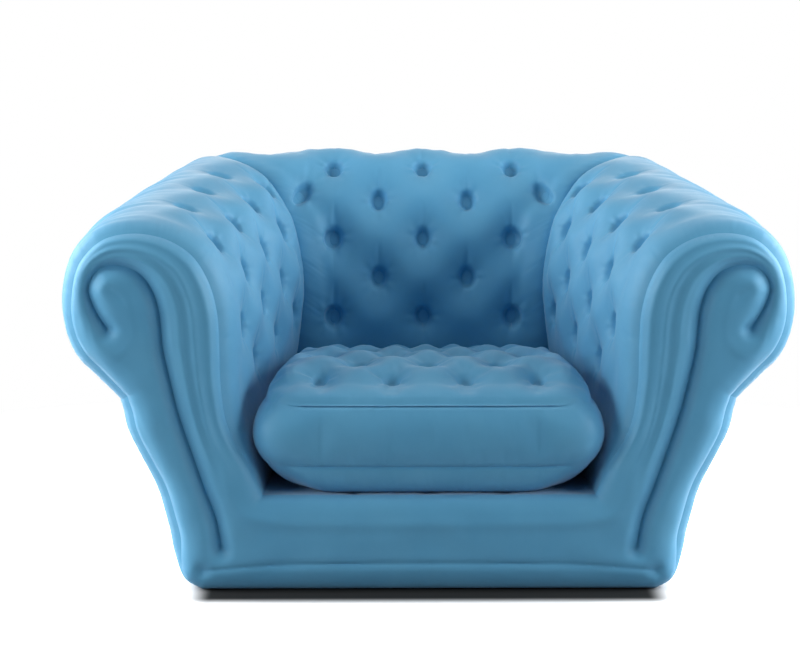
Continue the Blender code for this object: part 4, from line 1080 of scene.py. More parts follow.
def add_webs(material):
    rows = np.linspace(0, FLOOR_ROW, FLOOR_ROW * WEB_ROW_STEPS + 1)
    for number, station in enumerate(WEB_STATIONS, 1):
        points = arm_surface(np.full(len(rows), float(station)), rows)
        y = points[0][1]
        for side, sign in (("right", 1), ("left", -1)):
            section_web(
                f"arm_{side}_web_{number}", points[:, [0, 2]],
                lambda a, b, sign=sign, y=y: (sign * a, y, b), (0, 1, 0), material,
            )
    for number, station in enumerate((-BACK_STRAIGHT, 0, BACK_STRAIGHT), 1):
        points = back_surface(np.full(len(rows), float(station)), rows)
        x = points[0][0]
        section_web(
            f"back_web_{number}", points[:, [1, 2]],
            lambda a, b, x=x: (x, a, b), (1, 0, 0), material,
        )
    points = arm_surface(np.full(len(rows), float(ARM_MITRE)), rows)
    stretch = math.hypot(1, MITRE_SLOPE)
    outline = np.column_stack([points[:, 0] * stretch, points[:, 2]])
    for side, sign in (("right", 1), ("left", -1)):
        section_web(
            f"corner_web_{side}", outline,
            lambda a, b, sign=sign: (sign * a / stretch, mitre_y(a / stretch), b),
            (sign * -MITRE_SLOPE / stretch, 1 / stretch, 0), material,
        )
    front, rear = FRONT_SEAM_Y + BEAM_END_GAP, BACK_FACE_Y - BEAM_END_GAP
    y = np.linspace(front, rear, BEAM_POINTS)
    clear = WALL + WEB_GAP + LEVEL_CREASE * 2
    for number, x in enumerate(BEAM_PLACES, 1):
        low = valley(x, y, BASE_VALLEY) + clear
        high = DECK_HEIGHT - valley(x, y, DECK_VALLEY) - clear
        outline = np.vstack([np.column_stack([y, low]), np.column_stack([y, high])[::-1]])
        holes = beam_holes(front, rear, DECK_HEIGHT / 2)
        inner_web(
            f"base_beam_{number}_sheet", outline, holes, lambda a, b, x=x: (x, a, b),
            (1, 0, 0), material, f"base_beam_{number}",
        )


# The front face


def outline_distance(points, outline, closed=True):
    """The distance of each point from the outline."""
    ends = np.roll(outline, -1, axis=0) if closed else outline[1:]
    starts = outline if closed else outline[:-1]
    best = np.full(len(points), np.inf)
    for a, b in zip(starts, ends):
        run = b - a
        share = np.clip((points - a) @ run / max(run @ run, 1e-18), 0, 1)
        best = np.minimum(best, np.linalg.norm(points - a - share[:, None] * run, axis=1))
    return best


def inside(points, outline):
    """True for each point that lies inside the closed outline."""
    x, y = points[:, 0], points[:, 1]
    found = np.zeros(len(points), bool)
    for (ax, ay), (bx, by) in zip(outline, np.roll(outline, -1, axis=0)):
        crosses = (ay > y) != (by > y)
        found ^= crosses & (x < ax + (y - ay) * (bx - ax) / np.where(by == ay, 1, by - ay))
    return found


def on_front(shares):
    return spline([(x * WIDTH / 2, z * ARM_FRONT_HEIGHT) for x, z in shares])


def front_seam():
    """The edge of the front face on the right: from the deck over the arm to the floor."""
    rows = np.linspace(0, FLOOR_ROW, FLOOR_ROW * FINE + 1)
    return arm_surface(np.zeros_like(rows), rows)


def front_depth(points, outline, lines):
    """How far forward of the front seam each point of the right half lies."""
    hook, outer, rail_seam, rail_ridge = lines
    edge = outline_distance(points, outline)
    to_hook = outline_distance(points, hook, closed=False)
    forward = FRONT_BULGE - draw_in(FRONT_BULGE, FRONT_ROUND, edge)
    calm = smooth_step(0, FRONT_ROUND, edge)
    share = HOOK_END_SHARE + (1 - HOOK_END_SHARE) * calm
    forward -= HOOK_DEPTH * hump(to_hook, HOOK_REACH) * share
    forward -= HOOK_LINE_DEPTH * hump(to_hook, HOOK_LINE_REACH)
    line = outline_distance(points, outer, closed=False)
    forward -= OUTER_LINE_DEPTH * hump(line, OUTER_LINE_REACH)
    line = outline_distance(points, rail_seam, closed=False)
    forward -= draw_in(RAIL_SEAM_DEPTH, RAIL_SEAM_REACH, line)
    spot = np.linalg.norm(points - rail_seam[-1], axis=1)
    forward -= CORNER_DIMPLE_DEPTH * hump(spot, CORNER_DIMPLE_REACH)
    line = outline_distance(points, rail_ridge, closed=False)
    forward += RAIL_RIDGE_HEIGHT * hump(line, RAIL_RIDGE_REACH)
    inner = outline_distance(points, outline[: RIPPLE_ROWS * FINE + 1], closed=False)
    share = inner / (inner + to_hook)
    wave = np.cos(math.tau * (share - RIPPLE_FIRST_SHARE) / RIPPLE_STEP_SHARE)
    wave = 2 * ((1 + wave) / 2) ** RIPPLE_POWER - 1
    band = smooth_step(0, RIPPLE_START_SHARE, share)
    band = band * (1 - smooth_step(*RIPPLE_END_SHARES, share))
    band = band * smooth_step(*RIPPLE_HEIGHTS, points[:, 1])
    band = band * (1 - smooth_step(*RIPPLE_SIDES, points[:, 0]))
    band = band * (1 - smooth_step(*RIPPLE_WIDTHS, inner + to_hook))
    forward += RIPPLE_HEIGHT * wave * band
    place = np.stack([points[:, 0], points[:, 1], 0 * points[:, 0]], axis=-1)
    forward += FACE_DRIFT_HEIGHT * wander(place, FACE_DRIFT_WAVE, FACE_SEED) * calm
    return forward


def add_front(material):
    """The whole front face: one sheet over both arm fronts and the rail below the seat."""
    seam = front_seam()
    edge = seam[:, [0, 2]]
    closed_outline = np.vstack([edge, edge[::-1] * (-1, 1)])
    drawn = (HOOK_CREASE_SHARES, OUTER_LINE_SHARES, RAIL_SEAM_SHARES, RAIL_RIDGE_SHARES)
    lines = [on_front(shares) for shares in drawn]
    floor = [(x, 0) for x in np.arange(edge[-1][0] - FACE_GRID, FACE_GRID / 2, -FACE_GRID)]
    centre = [(0, z) for z in np.arange(0, DECK_HEIGHT - FACE_GRID / 2, FACE_GRID)]
    deck = [(x, DECK_HEIGHT) for x in np.arange(0, WELL_FRONT_HALF - FACE_GRID / 2, FACE_GRID)]
    border = np.array([*edge[::FACE_EDGE_STEP].tolist(), *floor, *centre, *deck])
    high = edge.max(axis=0)
    rows = int(high[1] / (FACE_GRID * FACE_ROW_SHARE)) + 1
    columns = int(high[0] / FACE_GRID) + 1
    grid = np.array([
        ((i + 0.5 * (j % 2)) * FACE_GRID, j * FACE_GRID * FACE_ROW_SHARE)
        for j in range(rows) for i in range(columns)
    ])
    hook = lines[0][::HOOK_STEP]
    clear = outline_distance(grid, border) > FACE_GRID * FACE_EDGE_CLEARANCE
    clear &= outline_distance(grid, hook, closed=False) > FACE_GRID * FACE_HOOK_CLEARANCE
    grid = grid[inside(grid, border) & clear]
    points = np.vstack([border, hook, grid])
    edges = [(i, (i + 1) % len(border)) for i in range(len(border))]
    edges += [(len(border) + i, len(border) + i + 1) for i in range(len(hook) - 1)]
    flat = [Vector(point) for point in points.tolist()]
    result = delaunay_2d_cdt(flat, edges, [], 0, JOIN_DISTANCE)
    faces = np.array([[result[3][i][0] for i in face] for face in result[2]])
    middles = points[faces].mean(axis=1)
    faces = faces[inside(middles, border)]
    forward = front_depth(points, closed_outline, lines)
    on_edge = outline_distance(points, closed_outline) < SAME_PLACE
    forward[on_edge] = 0
    place = np.stack([points[:, 0], FRONT_SEAM_Y - forward, points[:, 1]], axis=-1)
    left = mirrored(place)
    both = np.vstack([place, left])
    cells = faces.tolist() + (faces[:, ::-1] + len(place)).tolist()
    shape = bpy.data.meshes.new("front_face_half")
    shape.from_pydata(both.tolist(), [], cells)
    sheet = bmesh.new()
    sheet.from_mesh(shape)
    bmesh.ops.remove_doubles(sheet, verts=sheet.verts, dist=SAME_PLACE)
    sheet.verts.index_update()
    points = np.array([v.co[:] for v in sheet.verts])
    faces = [[v.index for v in face.verts] for face in sheet.faces]
    sheet.free()
    bpy.data.meshes.remove(shape)
    obj = wall_mesh("front_skin", points, faces, material)
    chair_piece(obj, "facing_left", "facing_right", "front_rail_panel")


# The cushion


def cushion_plan(column, row, grow=0):
    """Places a point of the square from -1 to 1 in the cushion's rounded, tapered plan."""
    reach = np.maximum(np.abs(column), np.abs(row))
    power = CUSHION_CORNER_POWER - CUSHION_CORNER_POWER_RISE * row
    norm = (np.abs(column) ** power + np.abs(row) ** power) ** (1 / power)
    draw = 1 - reach**4 * (1 - reach / np.maximum(norm, SAME_PLACE))
    across, back = column * draw, row * draw
    half = (CUSHION_FRONT_HALF + CUSHION_REAR_HALF) / 2
    half = half + (CUSHION_REAR_HALF - CUSHION_FRONT_HALF) / 2 * back + grow
    return across * half, CUSHION_MIDDLE_Y + back * (CUSHION_HALF_DEPTH + grow)


def cushion_lines(cells, fine, even=False):
    """Sample places from -1 to 1, close together at the tufts and at the seams."""
    half = cells / 2
    places = np.linspace(-half, half, cells * fine + 1)
    if even:
        return places / half
    edge = half - np.abs(places)
    seam = edge * (1 - EDGE_CROWDING) + EDGE_CROWDING * edge**2
    drawn = half - np.abs(crowded(-half, half, 0, fine))
    return np.sign(places) * (half - np.where(edge < 1, seam, drawn)) / half


def cushion_grid(fine, even=False):
    return cushion_lines(CUSHION_COLUMNS, fine, even), cushion_lines(CUSHION_ROWS, fine, even)


def cushion_edge(fine, even=False):
    """The square's edge as a loop of columns and rows, anticlockwise from the front left."""
    columns, rows = cushion_grid(fine, even)
    loop = [(c, -1.0) for c in columns[:-1]] + [(1.0, r) for r in rows[:-1]]
    loop += [(c, 1.0) for c in columns[:0:-1]] + [(-1.0, r) for r in rows[:0:-1]]
    return np.array(loop)


def edge_cells(edge):
    """How many cells lie between the loop's start and each point of it."""
    column, row = (edge[:, 0] + 1) / 2 * CUSHION_COLUMNS, (edge[:, 1] + 1) / 2 * CUSHION_ROWS
    around = CUSHION_COLUMNS + CUSHION_ROWS
    side = np.where(column == CUSHION_COLUMNS, CUSHION_COLUMNS + row, 2 * around - row)
    rear = np.where(row == CUSHION_ROWS, around + CUSHION_COLUMNS - column, side)
    return np.where(row == 0, column, rear) % (2 * around)


def edge_order(fine):
    """The top grid's vertices along its edge, in the order of cushion_edge."""
    columns, rows = CUSHION_COLUMNS * fine + 1, CUSHION_ROWS * fine + 1
    grid = np.arange(rows * columns).reshape(rows, columns)
    return np.concatenate([grid[0, :-1], grid[:-1, -1], grid[-1, :0:-1], grid[:0:-1, 0]])


def at_corner(edge):
    """1 at the cushion's rounded corners, where the seams fade, and 0 along its sides."""
    return smooth_step(*CORNER_SEAM_FADE, np.min(np.abs(edge), axis=1))


def cushion_tufts():
    """The column and row of each tuft, counted in cells from the middle and from the front."""
    half = STEPS_PER_PITCH // 2
    last = CUSHION_LAST_TUFT_COLUMN
    return [
        (i, k)
        for k in range(CUSHION_FIRST_TUFT, CUSHION_ROWS, half)
        for i in range(-last, last + 1, half)
        if (i + k) % STEPS_PER_PITCH == 0
    ]


def cushion_top(column, row, detail=True):
    """The crowned, tufted top. Column and row run from -1 to 1."""
    x, y = cushion_plan(column, row)
    side = (1 - np.abs(column)) * CUSHION_HALF_DEPTH
    edge = np.minimum(side, (1 - np.abs(row)) * CUSHION_HALF_DEPTH)
    profile = spline(CUSHION_CROWN_SHARES)
    crown = CUSHION_CROWN * np.interp((row + 1) / 2, profile[:, 0], profile[:, 1])
    z = crown * (1 - draw_in(1, CUSHION_CROWN_REACH, side))
    i = column * CUSHION_COLUMNS / 2
    k = (row + 1) / 2 * CUSHION_ROWS
    quarter = math.tau / STEPS_PER_PITCH
    pattern = np.cos(quarter * (i - CUSHION_FIRST_TUFT))
    pattern = pattern * np.cos(quarter * (k - CUSHION_FIRST_TUFT))
    window = smooth_step(*CUSHION_TUFT_COLUMN_FADE, CUSHION_COLUMNS / 2 - np.abs(i))
    window = window * smooth_step(*CUSHION_TUFT_ROW_FADE, np.minimum(k, CUSHION_ROWS - k))
    z = z - CUSHION_PUFF * pattern * window
    narrowing = (CUSHION_REAR_HALF - CUSHION_FRONT_HALF) / 2
    run = (CUSHION_FRONT_HALF + CUSHION_REAR_HALF) / 2 + narrowing * row
    run, rise = run * 2 / CUSHION_COLUMNS, 2 * CUSHION_HALF_DEPTH / CUSHION_ROWS
    for at_i, at_k in cushion_tufts():
        along, up = (i - at_i) * run, (k - at_k) * rise
        distance = oval_distance(along, up) * CUSHION_TUFT_TIGHTEN
        z = z + (CUSHION_PUFF - CUSHION_TUFT_DEPTH) * dimple(distance)
        if detail:
            turn = CUSHION_TUFT_TURNS[0] * at_i + CUSHION_TUFT_TURNS[1] * at_k
            z = z + pucker(along, up, turn) * CUSHION_PUCKER
    if detail:
        calm = 1 - smooth_step(*CORNER_SEAM_FADE, np.minimum(np.abs(column), np.abs(row)))
        z = z - SEAM_GROOVE * hump(edge - SEAM_GROOVE_HALF, SEAM_GROOVE_HALF) * calm
        fold = hump(edge - FRONT_FOLD_PLACE, FRONT_FOLD_HALF) * calm
        z = z - FRONT_FOLD_DEPTH * fold * (row < FRONT_FOLD_END_ROW)
        along = np.where(np.abs(row) > np.abs(column), x, y)
        z = z + pleats(along, edge, CUSHION_TOP_PLEATS) * calm
        flat = np.stack([x, y], axis=-1)
        drift = wander(flat, CUSHION_DRIFT_WAVE, CUSHION_SEED)
        z = z + CUSHION_DRIFT_HEIGHT * drift * smooth_step(0, CUSHION_DRIFT_START, edge)
    return np.stack([x, y, z + CUSHION_FLOOR + CUSHION_TOP_SEAM], axis=-1)


def cushion_ring(edge, grow, height):
    """A level ring round the cushion. The rear's middle stays flat, round the valve."""
    x, _ = cushion_plan(edge[:, 0], edge[:, 1])
    middle = 1 - smooth_step(CUSHION_FLAT_HALF, CUSHION_FLAT_FADE, np.abs(x))
    flat = np.where(edge[:, 1] == 1, middle, 0)
    grow = np.where(grow > 0, grow * (1 - flat), grow)
    x, y = cushion_plan(edge[:, 0], edge[:, 1], grow)
    return np.stack([x, y, np.full(len(x), CUSHION_FLOOR + height)], axis=-1)


def band_crowded(steps):
    """Steps from 0 to 1 over the band, drawn closer to the seams at both ends."""
    return steps - BAND_CROWDING * np.sin(math.tau * steps) / math.tau


def cushion_rings(edge, band_steps, roll_steps, detail):
    """Rings from below the top seam down the band, and on under the cushion."""
    x, y = cushion_plan(edge[:, 0], edge[:, 1])
    arc = np.concatenate([[0], np.cumsum(np.hypot(np.diff(x), np.diff(y)))])
    calm = (1 - at_corner(edge)) * (1 - near_valve(x, y))
    side = smooth_step(*SIDE_ROLL_COLUMNS, np.abs(edge[:, 0]))
    side = side * (1 - smooth_step(*SIDE_ROLL_ROWS, edge[:, 1]))
    bulge = CUSHION_BULGE + (CUSHION_SIDE_BULGE - CUSHION_BULGE) * side
    roll_in = CUSHION_ROLL_IN + (CUSHION_SIDE_ROLL_IN - CUSHION_ROLL_IN) * side
    flare = CUSHION_SIDE_ROLL_FLARE * side
    rings = []
    height = CUSHION_TOP_SEAM - CUSHION_BASE_SEAM
    steps = np.linspace(1, 0, band_steps + 1)
    if detail:
        steps = band_crowded(steps)
    for t in steps[1:]:
        to_seam = height * min(t, 1 - t)
        grow = bulge * 4 * t * (1 - t)
        if detail:
            grow = grow - SEAM_GROOVE * hump(to_seam - SEAM_GROOVE_HALF, SEAM_GROOVE_HALF) * calm
            seed = CUSHION_BAND_PLEATS + (t > 0.5)
            grow = grow + pleats(arc, np.full(len(arc), to_seam), seed) * calm
        rings.append(cushion_ring(edge, grow, CUSHION_BASE_SEAM + height * t))
    for t in np.linspace(0, 1, roll_steps + 1)[1:] ** ROLL_CROWDING:
        turn = t * math.pi / 2
        grow = -roll_in * ((1 - flare) * (1 - math.cos(turn)) + flare * math.sin(turn))
        if detail and t < 1:
            away = np.full(len(arc), t * CUSHION_BASE_SEAM)
            grow = grow + pleats(arc, away, CUSHION_ROLL_PLEATS) * calm
        rings.append(cushion_ring(edge, grow, CUSHION_BASE_SEAM * (1 - math.sin(turn))))
    return rings


def near_valve(x, y):
    """1 round the valve on the cushion's rear, falling to 0 away from it."""
    return (1 - smooth_step(CUSHION_FLAT_HALF / 2, CUSHION_FLAT_HALF, np.abs(x))) * (y > 0)


def cushion_shape(fine, band_steps, roll_steps, detail=True):
    """The cushion's top grid, and its rings from the top seam down and under."""
    top = cushion_top(*np.meshgrid(*cushion_grid(fine, even=not detail)), detail=detail)
    edge = cushion_edge(fine, even=not detail)
    return top, np.array(cushion_rings(edge, band_steps, roll_steps, detail))


def cover_faces(fine, ring_count):
    """Faces of the top grid and of the rings that hang from its edge, all facing outwards."""
    columns, rows = CUSHION_COLUMNS * fine + 1, CUSHION_ROWS * fine + 1
    faces = grid_faces(rows, columns)
    count = len(edge_order(fine))
    high = edge_order(fine).tolist()
    for k in range(ring_count):
        low = (rows * columns + k * count + np.arange(count)).tolist()
        for i in range(count):
            after = (i + 1) % count
            faces.append([high[i], low[i], low[after], high[after]])
        high = low
    return faces, high


def outward(points, faces):
    """The way out at each point of a mesh."""
    total = np.zeros_like(points)
    for face in faces:
        corners = points[list(face)]
        normal = np.cross(corners[1] - corners[0], corners[-1] - corners[0])
        for i in face:
            total[i] += normal
    return total / np.maximum(np.linalg.norm(total, axis=1, keepdims=True), 1e-12)


def blown_up(top, rings):
    """How far air pressure lifts the cover off its coarse shape, by a cloth simulation.

    The seams, the tufts' welds, the base and the valve's place are held. What the cloth gives
    is kept as a height off the surface, capped, and returned for the top and for the band.
    """
    flat_top, flat_rings = top.reshape(-1, 3), rings.reshape(-1, 3)
    points = np.vstack([flat_top, flat_rings])
    faces, last = cover_faces(CLOTH_FINE, len(rings))
    mesh = bpy.data.meshes.new("cushion_blank")
    mesh.from_pydata(points.tolist(), [], faces + [last])
    mesh.update()
    blank = new_object("cushion_blank", mesh)
    held = np.zeros(len(points))
    columns, rows = cushion_grid(CLOTH_FINE, even=True)
    i, k = np.meshgrid(columns * CUSHION_COLUMNS / 2, (rows + 1) / 2 * CUSHION_ROWS)
    for at_i, at_k in cushion_tufts():
        weld = np.hypot(i - at_i, k - at_k) < CLOTH_WELD_CELLS
        held[: len(flat_top)][weld.ravel()] = 1
    order = edge_order(CLOTH_FINE)
    held[order] = 1
    count = len(order)
    band = len(flat_top) + np.arange(CLOTH_BAND_STEPS * count)
    held[len(flat_top) + (CLOTH_BAND_STEPS - 1) * count:] = 1
    by_valve = near_valve(points[band, 0], points[band, 1]) > CLOTH_VALVE_SHARE
    held[band] = np.maximum(held[band], by_valve)
    group = blank.vertex_groups.new(name="held")
    group.add(np.nonzero(held)[0].tolist(), 1.0, "REPLACE")
    cloth = blank.modifiers.new("cloth", "CLOTH")
    settings = cloth.settings
    settings.quality = CLOTH_QUALITY
    settings.mass = CLOTH_MASS
    settings.tension_stiffness = settings.compression_stiffness = CLOTH_STIFFNESS
    settings.shear_stiffness = CLOTH_SHEAR_STIFFNESS
    settings.bending_stiffness = CLOTH_BENDING_STIFFNESS
    settings.shrink_min = -CLOTH_EXTRA
    settings.use_pressure = True
    settings.uniform_pressure_force = CLOTH_PRESSURE
    settings.vertex_group_mass = "held"
    settings.effector_weights.gravity = 0
    cloth.collision_settings.use_collision = False
    cloth.point_cache.frame_start = 1
    cloth.point_cache.frame_end = CLOTH_FRAMES
    scene = bpy.context.scene
    for frame_number in range(1, CLOTH_FRAMES + 1):
        scene.frame_set(frame_number)
    blown = blank.evaluated_get(bpy.context.evaluated_depsgraph_get())
    moved = np.array([v.co[:] for v in blown.data.vertices])
    scene.frame_set(1)
    bpy.data.objects.remove(blank)
    rise = ((moved - points) * outward(points, faces)).sum(axis=1)
    top_rise = np.clip(rise[: len(flat_top)], *TOP_RISE_LIMITS).reshape(top.shape[:2])
    band_rise = np.clip(rise[band], *BAND_RISE_LIMITS).reshape(-1, count)
    band_rise = softened(softened(np.vstack([np.zeros((1, count)), band_rise])))
    return softened(top_rise), band_rise


def softened(values):
    """One even smoothing over a grid, its edge left as it is."""
    result = values.copy()
    middle = values[1:-1, 1:-1]
    around = values[:-2, 1:-1] + values[2:, 1:-1] + values[1:-1, :-2] + values[1:-1, 2:]
    result[1:-1, 1:-1] = middle * 0.5 + around * 0.125
    return result


def resampled(values, places, closed=False):
    """Values between a run of samples, at places counted in samples, on a smooth curve."""
    count = len(values)
    low = np.floor(places).astype(int)
    if not closed:
        low = np.clip(low, 0, count - 2)
    share = (places - low).reshape(-1, *[1] * (values.ndim - 1))
    a, b, c, d = (
        values[(low + k) % count if closed else np.clip(low + k, 0, count - 1)]
        for k in (-1, 0, 1, 2)
    )
    curve = 2 * a - 5 * b + 4 * c - d + share * (3 * (b - c) + d - a)
    return b + 0.5 * share * (c - a + share * curve)


def add_cushion(material):
    """The cushion's welded cover."""
    top, rings = cushion_shape(COVER_FINE, BAND_STEPS, ROLL_STEPS)
    grid = top.reshape(-1, 3)
    faces, last = cover_faces(COVER_FINE, len(rings))
    points = np.vstack([grid, rings.reshape(-1, 3)])
    blank = cushion_shape(CLOTH_FINE, CLOTH_BAND_STEPS, CLOTH_ROLL_STEPS, detail=False)
    top_rise, band_rise = blown_up(*blank)
    columns, rows = cushion_grid(COVER_FINE)
    top_rise = resampled(top_rise, (rows + 1) / 2 * CUSHION_ROWS * CLOTH_FINE)
    top_rise = resampled(top_rise.T, (columns + 1) / 2 * CUSHION_COLUMNS * CLOTH_FINE).T
    steps = band_crowded(np.linspace(0, 1, BAND_STEPS + 1))
    band_rise = resampled(band_rise, steps[1:] * CLOTH_BAND_STEPS)
    places = edge_cells(cushion_edge(COVER_FINE)) * CLOTH_FINE
    band_rise = resampled(band_rise.T, places, closed=True).T
    rise = np.zeros(len(points))
    rise[: len(grid)] = top_rise.ravel()
    rise[len(grid): len(grid) + band_rise.size] = band_rise.ravel()
    points = points + outward(points, faces) * rise[:, None]
    base = points[last][:, :2]
    flat, base_faces = filled(base, LEVEL_GRID)
    place = len(points) - len(base)
    inner = flat[len(base):]
    points = np.vstack([points, np.column_stack([inner, np.full(len(inner), CUSHION_FLOOR)])])
    faces += [[place + i for i in reversed(face)] for face in base_faces]
    top = points[: len(grid)].reshape(top.shape)
    points, faces = open_hole(points, faces, CUSHION_VALVE, VALVE_HOLE_RADIUS)
    cover = wall_mesh("cushion_cover", points, faces, material)
    chair_piece(
        cover, "cushion_top_panel", "cushion_side_band", "cushion_base_panel", body="cushion",
    )
    return top


def add_cushion_beams(top, material):
    """Upright beams that tie the cushion's tufts to its base."""
    left_out = CUSHION_BEAM_END_COLUMN * COVER_FINE
    low = CUSHION_FLOOR + WALL + WEB_GAP
    height = CUSHION_FLOOR + (CUSHION_TOP_SEAM + CUSHION_CROWN) / 2
    for number, row in enumerate(CUSHION_BEAM_ROWS, 1):
        line = top[row * COVER_FINE, left_out:-left_out]
        y = line[len(line) // 2][1]
        x = line[:, 0]
        high = line[:, 2] - WALL - WEB_GAP
        smooth = np.minimum(high, np.minimum(np.roll(high, 1), np.roll(high, -1)))
        smooth[[0, -1]] = high[[0, -1]]
        outline = np.vstack([[(x[0], low), (x[-1], low)], np.column_stack([x, smooth])[::-1]])
        holes = beam_holes(x[0], x[-1], height)
        inner_web(
            f"cushion_beam_{number}_sheet", outline, holes, lambda a, b, y=y: (a, y, b),
            (0, 1, 0), material, f"cushion_beam_{number}", body="cushion",
        )


# Weld discs in the tufts


def link_chain(tree, *links):
    for start, end in links:
        tree.links.new(start, end)


def new_tree(name, inputs, output):
    """A Geometry Nodes tree with named inputs, its nodes, and its input and output nodes."""
    tree = bpy.data.node_groups.new(name, "GeometryNodeTree")
    for label, kind in inputs:
        tree.interface.new_socket(label, in_out="INPUT", socket_type=f"NodeSocket{kind}")
    tree.interface.new_socket(output, in_out="OUTPUT", socket_type="NodeSocketGeometry")
    nodes = tree.nodes
    return tree, nodes, nodes.new("NodeGroupInput"), nodes.new("NodeGroupOutput")


def end_tree(tree, geometry, material, result):
    """Makes the tree's instances real, smooth and coloured, and gives them as its result."""
    real = tree.nodes.new("GeometryNodeRealizeInstances")
    smooth = tree.nodes.new("GeometryNodeSetShadeSmooth")
    paint = tree.nodes.new("GeometryNodeSetMaterial")
    paint.inputs["Material"].default_value = material
    for node in (real, smooth, paint):
        tree.links.new(geometry, node.inputs["Geometry"])
        geometry = node.outputs["Geometry"]
    tree.links.new(geometry, result.inputs[0])


def disc_tree(material):
    """Stands a flat, round-edged disc on each point, facing the way the point says."""
    inputs = [("Points", "Geometry")]
    inputs += [(name, "Float") for name in ("Radius", "Thickness", "Oval", "Rim share")]
    tree, nodes, given, result = new_tree("weld_discs", inputs, "Discs")
    disc = nodes.new("GeometryNodeMeshCylinder")
    disc.inputs["Vertices"].default_value = DISC_VERTICES
    disc.inputs["Side Segments"].default_value = DISC_SIDE_STEPS
    disc.inputs["Fill Segments"].default_value = DISC_FILL_STEPS
    place = nodes.new("GeometryNodeInputPosition")
    split = nodes.new("ShaderNodeSeparateXYZ")
    above = nodes.new("FunctionNodeCompare")
    above.operation = "GREATER_THAN"
    above.inputs["B"].default_value = 0
    rim = nodes.new("ShaderNodeVectorMath")
    rim.operation = "MULTIPLY"
    combine = nodes.new("ShaderNodeCombineXYZ")
    combine.inputs["Z"].default_value = 1
    taper = nodes.new("GeometryNodeSetPosition")
    oval = nodes.new("ShaderNodeCombineXYZ")
    oval.inputs["X"].default_value = 1
    oval.inputs["Z"].default_value = 1
    shape = nodes.new("GeometryNodeTransform")
    out_way, up_way = (nodes.new("GeometryNodeInputNamedAttribute") for _ in range(2))
    for node, name in ((out_way, "facing"), (up_way, "rising")):
        node.data_type = "FLOAT_VECTOR"
        node.inputs["Name"].default_value = name
    turn = nodes.new("FunctionNodeAxesToRotation")
    turn.primary_axis, turn.secondary_axis = "Z", "Y"
    stand = nodes.new("GeometryNodeInstanceOnPoints")
    link_chain(
        tree,
        (given.outputs["Radius"], disc.inputs["Radius"]),
        (given.outputs["Thickness"], disc.inputs["Depth"]),
        (place.outputs[0], split.inputs[0]),
        (split.outputs["Z"], above.inputs["A"]),
        (given.outputs["Rim share"], combine.inputs["X"]),
        (given.outputs["Rim share"], combine.inputs["Y"]),
        (place.outputs[0], rim.inputs[0]),
        (combine.outputs[0], rim.inputs[1]),
        (disc.outputs["Mesh"], taper.inputs["Geometry"]),
        (above.outputs["Result"], taper.inputs["Selection"]),
        (rim.outputs[0], taper.inputs["Position"]),
        (taper.outputs["Geometry"], shape.inputs["Geometry"]),
        (given.outputs["Oval"], oval.inputs["Y"]),
        (oval.outputs[0], shape.inputs["Scale"]),
        (given.outputs["Points"], stand.inputs["Points"]),
        (shape.outputs["Geometry"], stand.inputs["Instance"]),
        (out_way.outputs["Attribute"], turn.inputs["Primary Axis"]),
        (up_way.outputs["Attribute"], turn.inputs["Secondary Axis"]),
        (turn.outputs["Rotation"], stand.inputs["Rotation"]),
    )
    end_tree(tree, stand.outputs["Instances"], material, result)
    return tree


def run_tree(name, points, attributes, tree, sizes):
    """A tree's result on a set of points, as one plain mesh."""
    mesh = bpy.data.meshes.new(f"{name}_points")
    mesh.from_pydata(np.asarray(points, float).tolist(), [], [])
    for key, values in attributes.items():
        layer = mesh.attributes.new(key, "FLOAT_VECTOR", "POINT")
        layer.data.foreach_set("vector", np.asarray(values, float).ravel())
    start = new_object(f"{name}_points", mesh)
    modifier = start.modifiers.new(name, "NODES")
    modifier.node_group = tree
    for item in tree.interface.items_tree:
        if item.in_out == "INPUT" and item.name in sizes:
            modifier[item.identifier] = sizes[item.name]
    done = start.evaluated_get(bpy.context.evaluated_depsgraph_get())
    made = bpy.data.meshes.new_from_object(done)
    made.name = name
    bpy.data.objects.remove(start)
    return new_object(name, made)


def tuft_seats(surface, tufts, turn):
    """Each tuft's weld: its place, the way out and the way up."""
    places = tufts.places()
    station, row = places[:, 0], places[:, 1]
    along = surface(station + DISC_STEP, row) - surface(station - DISC_STEP, row)
    up = surface(station, row + DISC_STEP) - surface(station, row - DISC_STEP)
    return surface(station, row), unit(turn * np.cross(along, up)), unit(up)


def add_weld_discs(top, material):
    arm = tuft_seats(arm_surface, ARM_TUFTS, -1)
    back = tuft_seats(back_surface, BACK_TUFTS, 1)
    sets = [arm, [mirrored(values) for values in arm], back]
    place, facing, rising = (np.vstack([values[k] for values in sets]) for k in range(3))
    tree = disc_tree(material)
    sizes = {
        "Radius": DISC_RADIUS, "Thickness": DISC_THICKNESS, "Oval": OVAL_UP / OVAL_ACROSS,
        "Rim share": DISC_RIM_SHARE,
    }
    discs = run_tree("tuft_weld_discs", place, {"facing": facing, "rising": rising}, tree, sizes)
    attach(discs, "chair")
    step = COVER_FINE
    seats = [top[k * step, (i + CUSHION_COLUMNS // 2) * step] for i, k in cushion_tufts()]
    facing = np.tile((0.0, 0.0, 1.0), (len(seats), 1))
    rising = np.tile((0.0, 1.0, 0.0), (len(seats), 1))
    sizes["Radius"] = DISC_RADIUS * CUSHION_DISC_SHARE
    discs = run_tree("cushion_weld_discs", seats, {"facing": facing, "rising": rising}, tree, sizes)
    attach(discs, "cushion")


# Valves


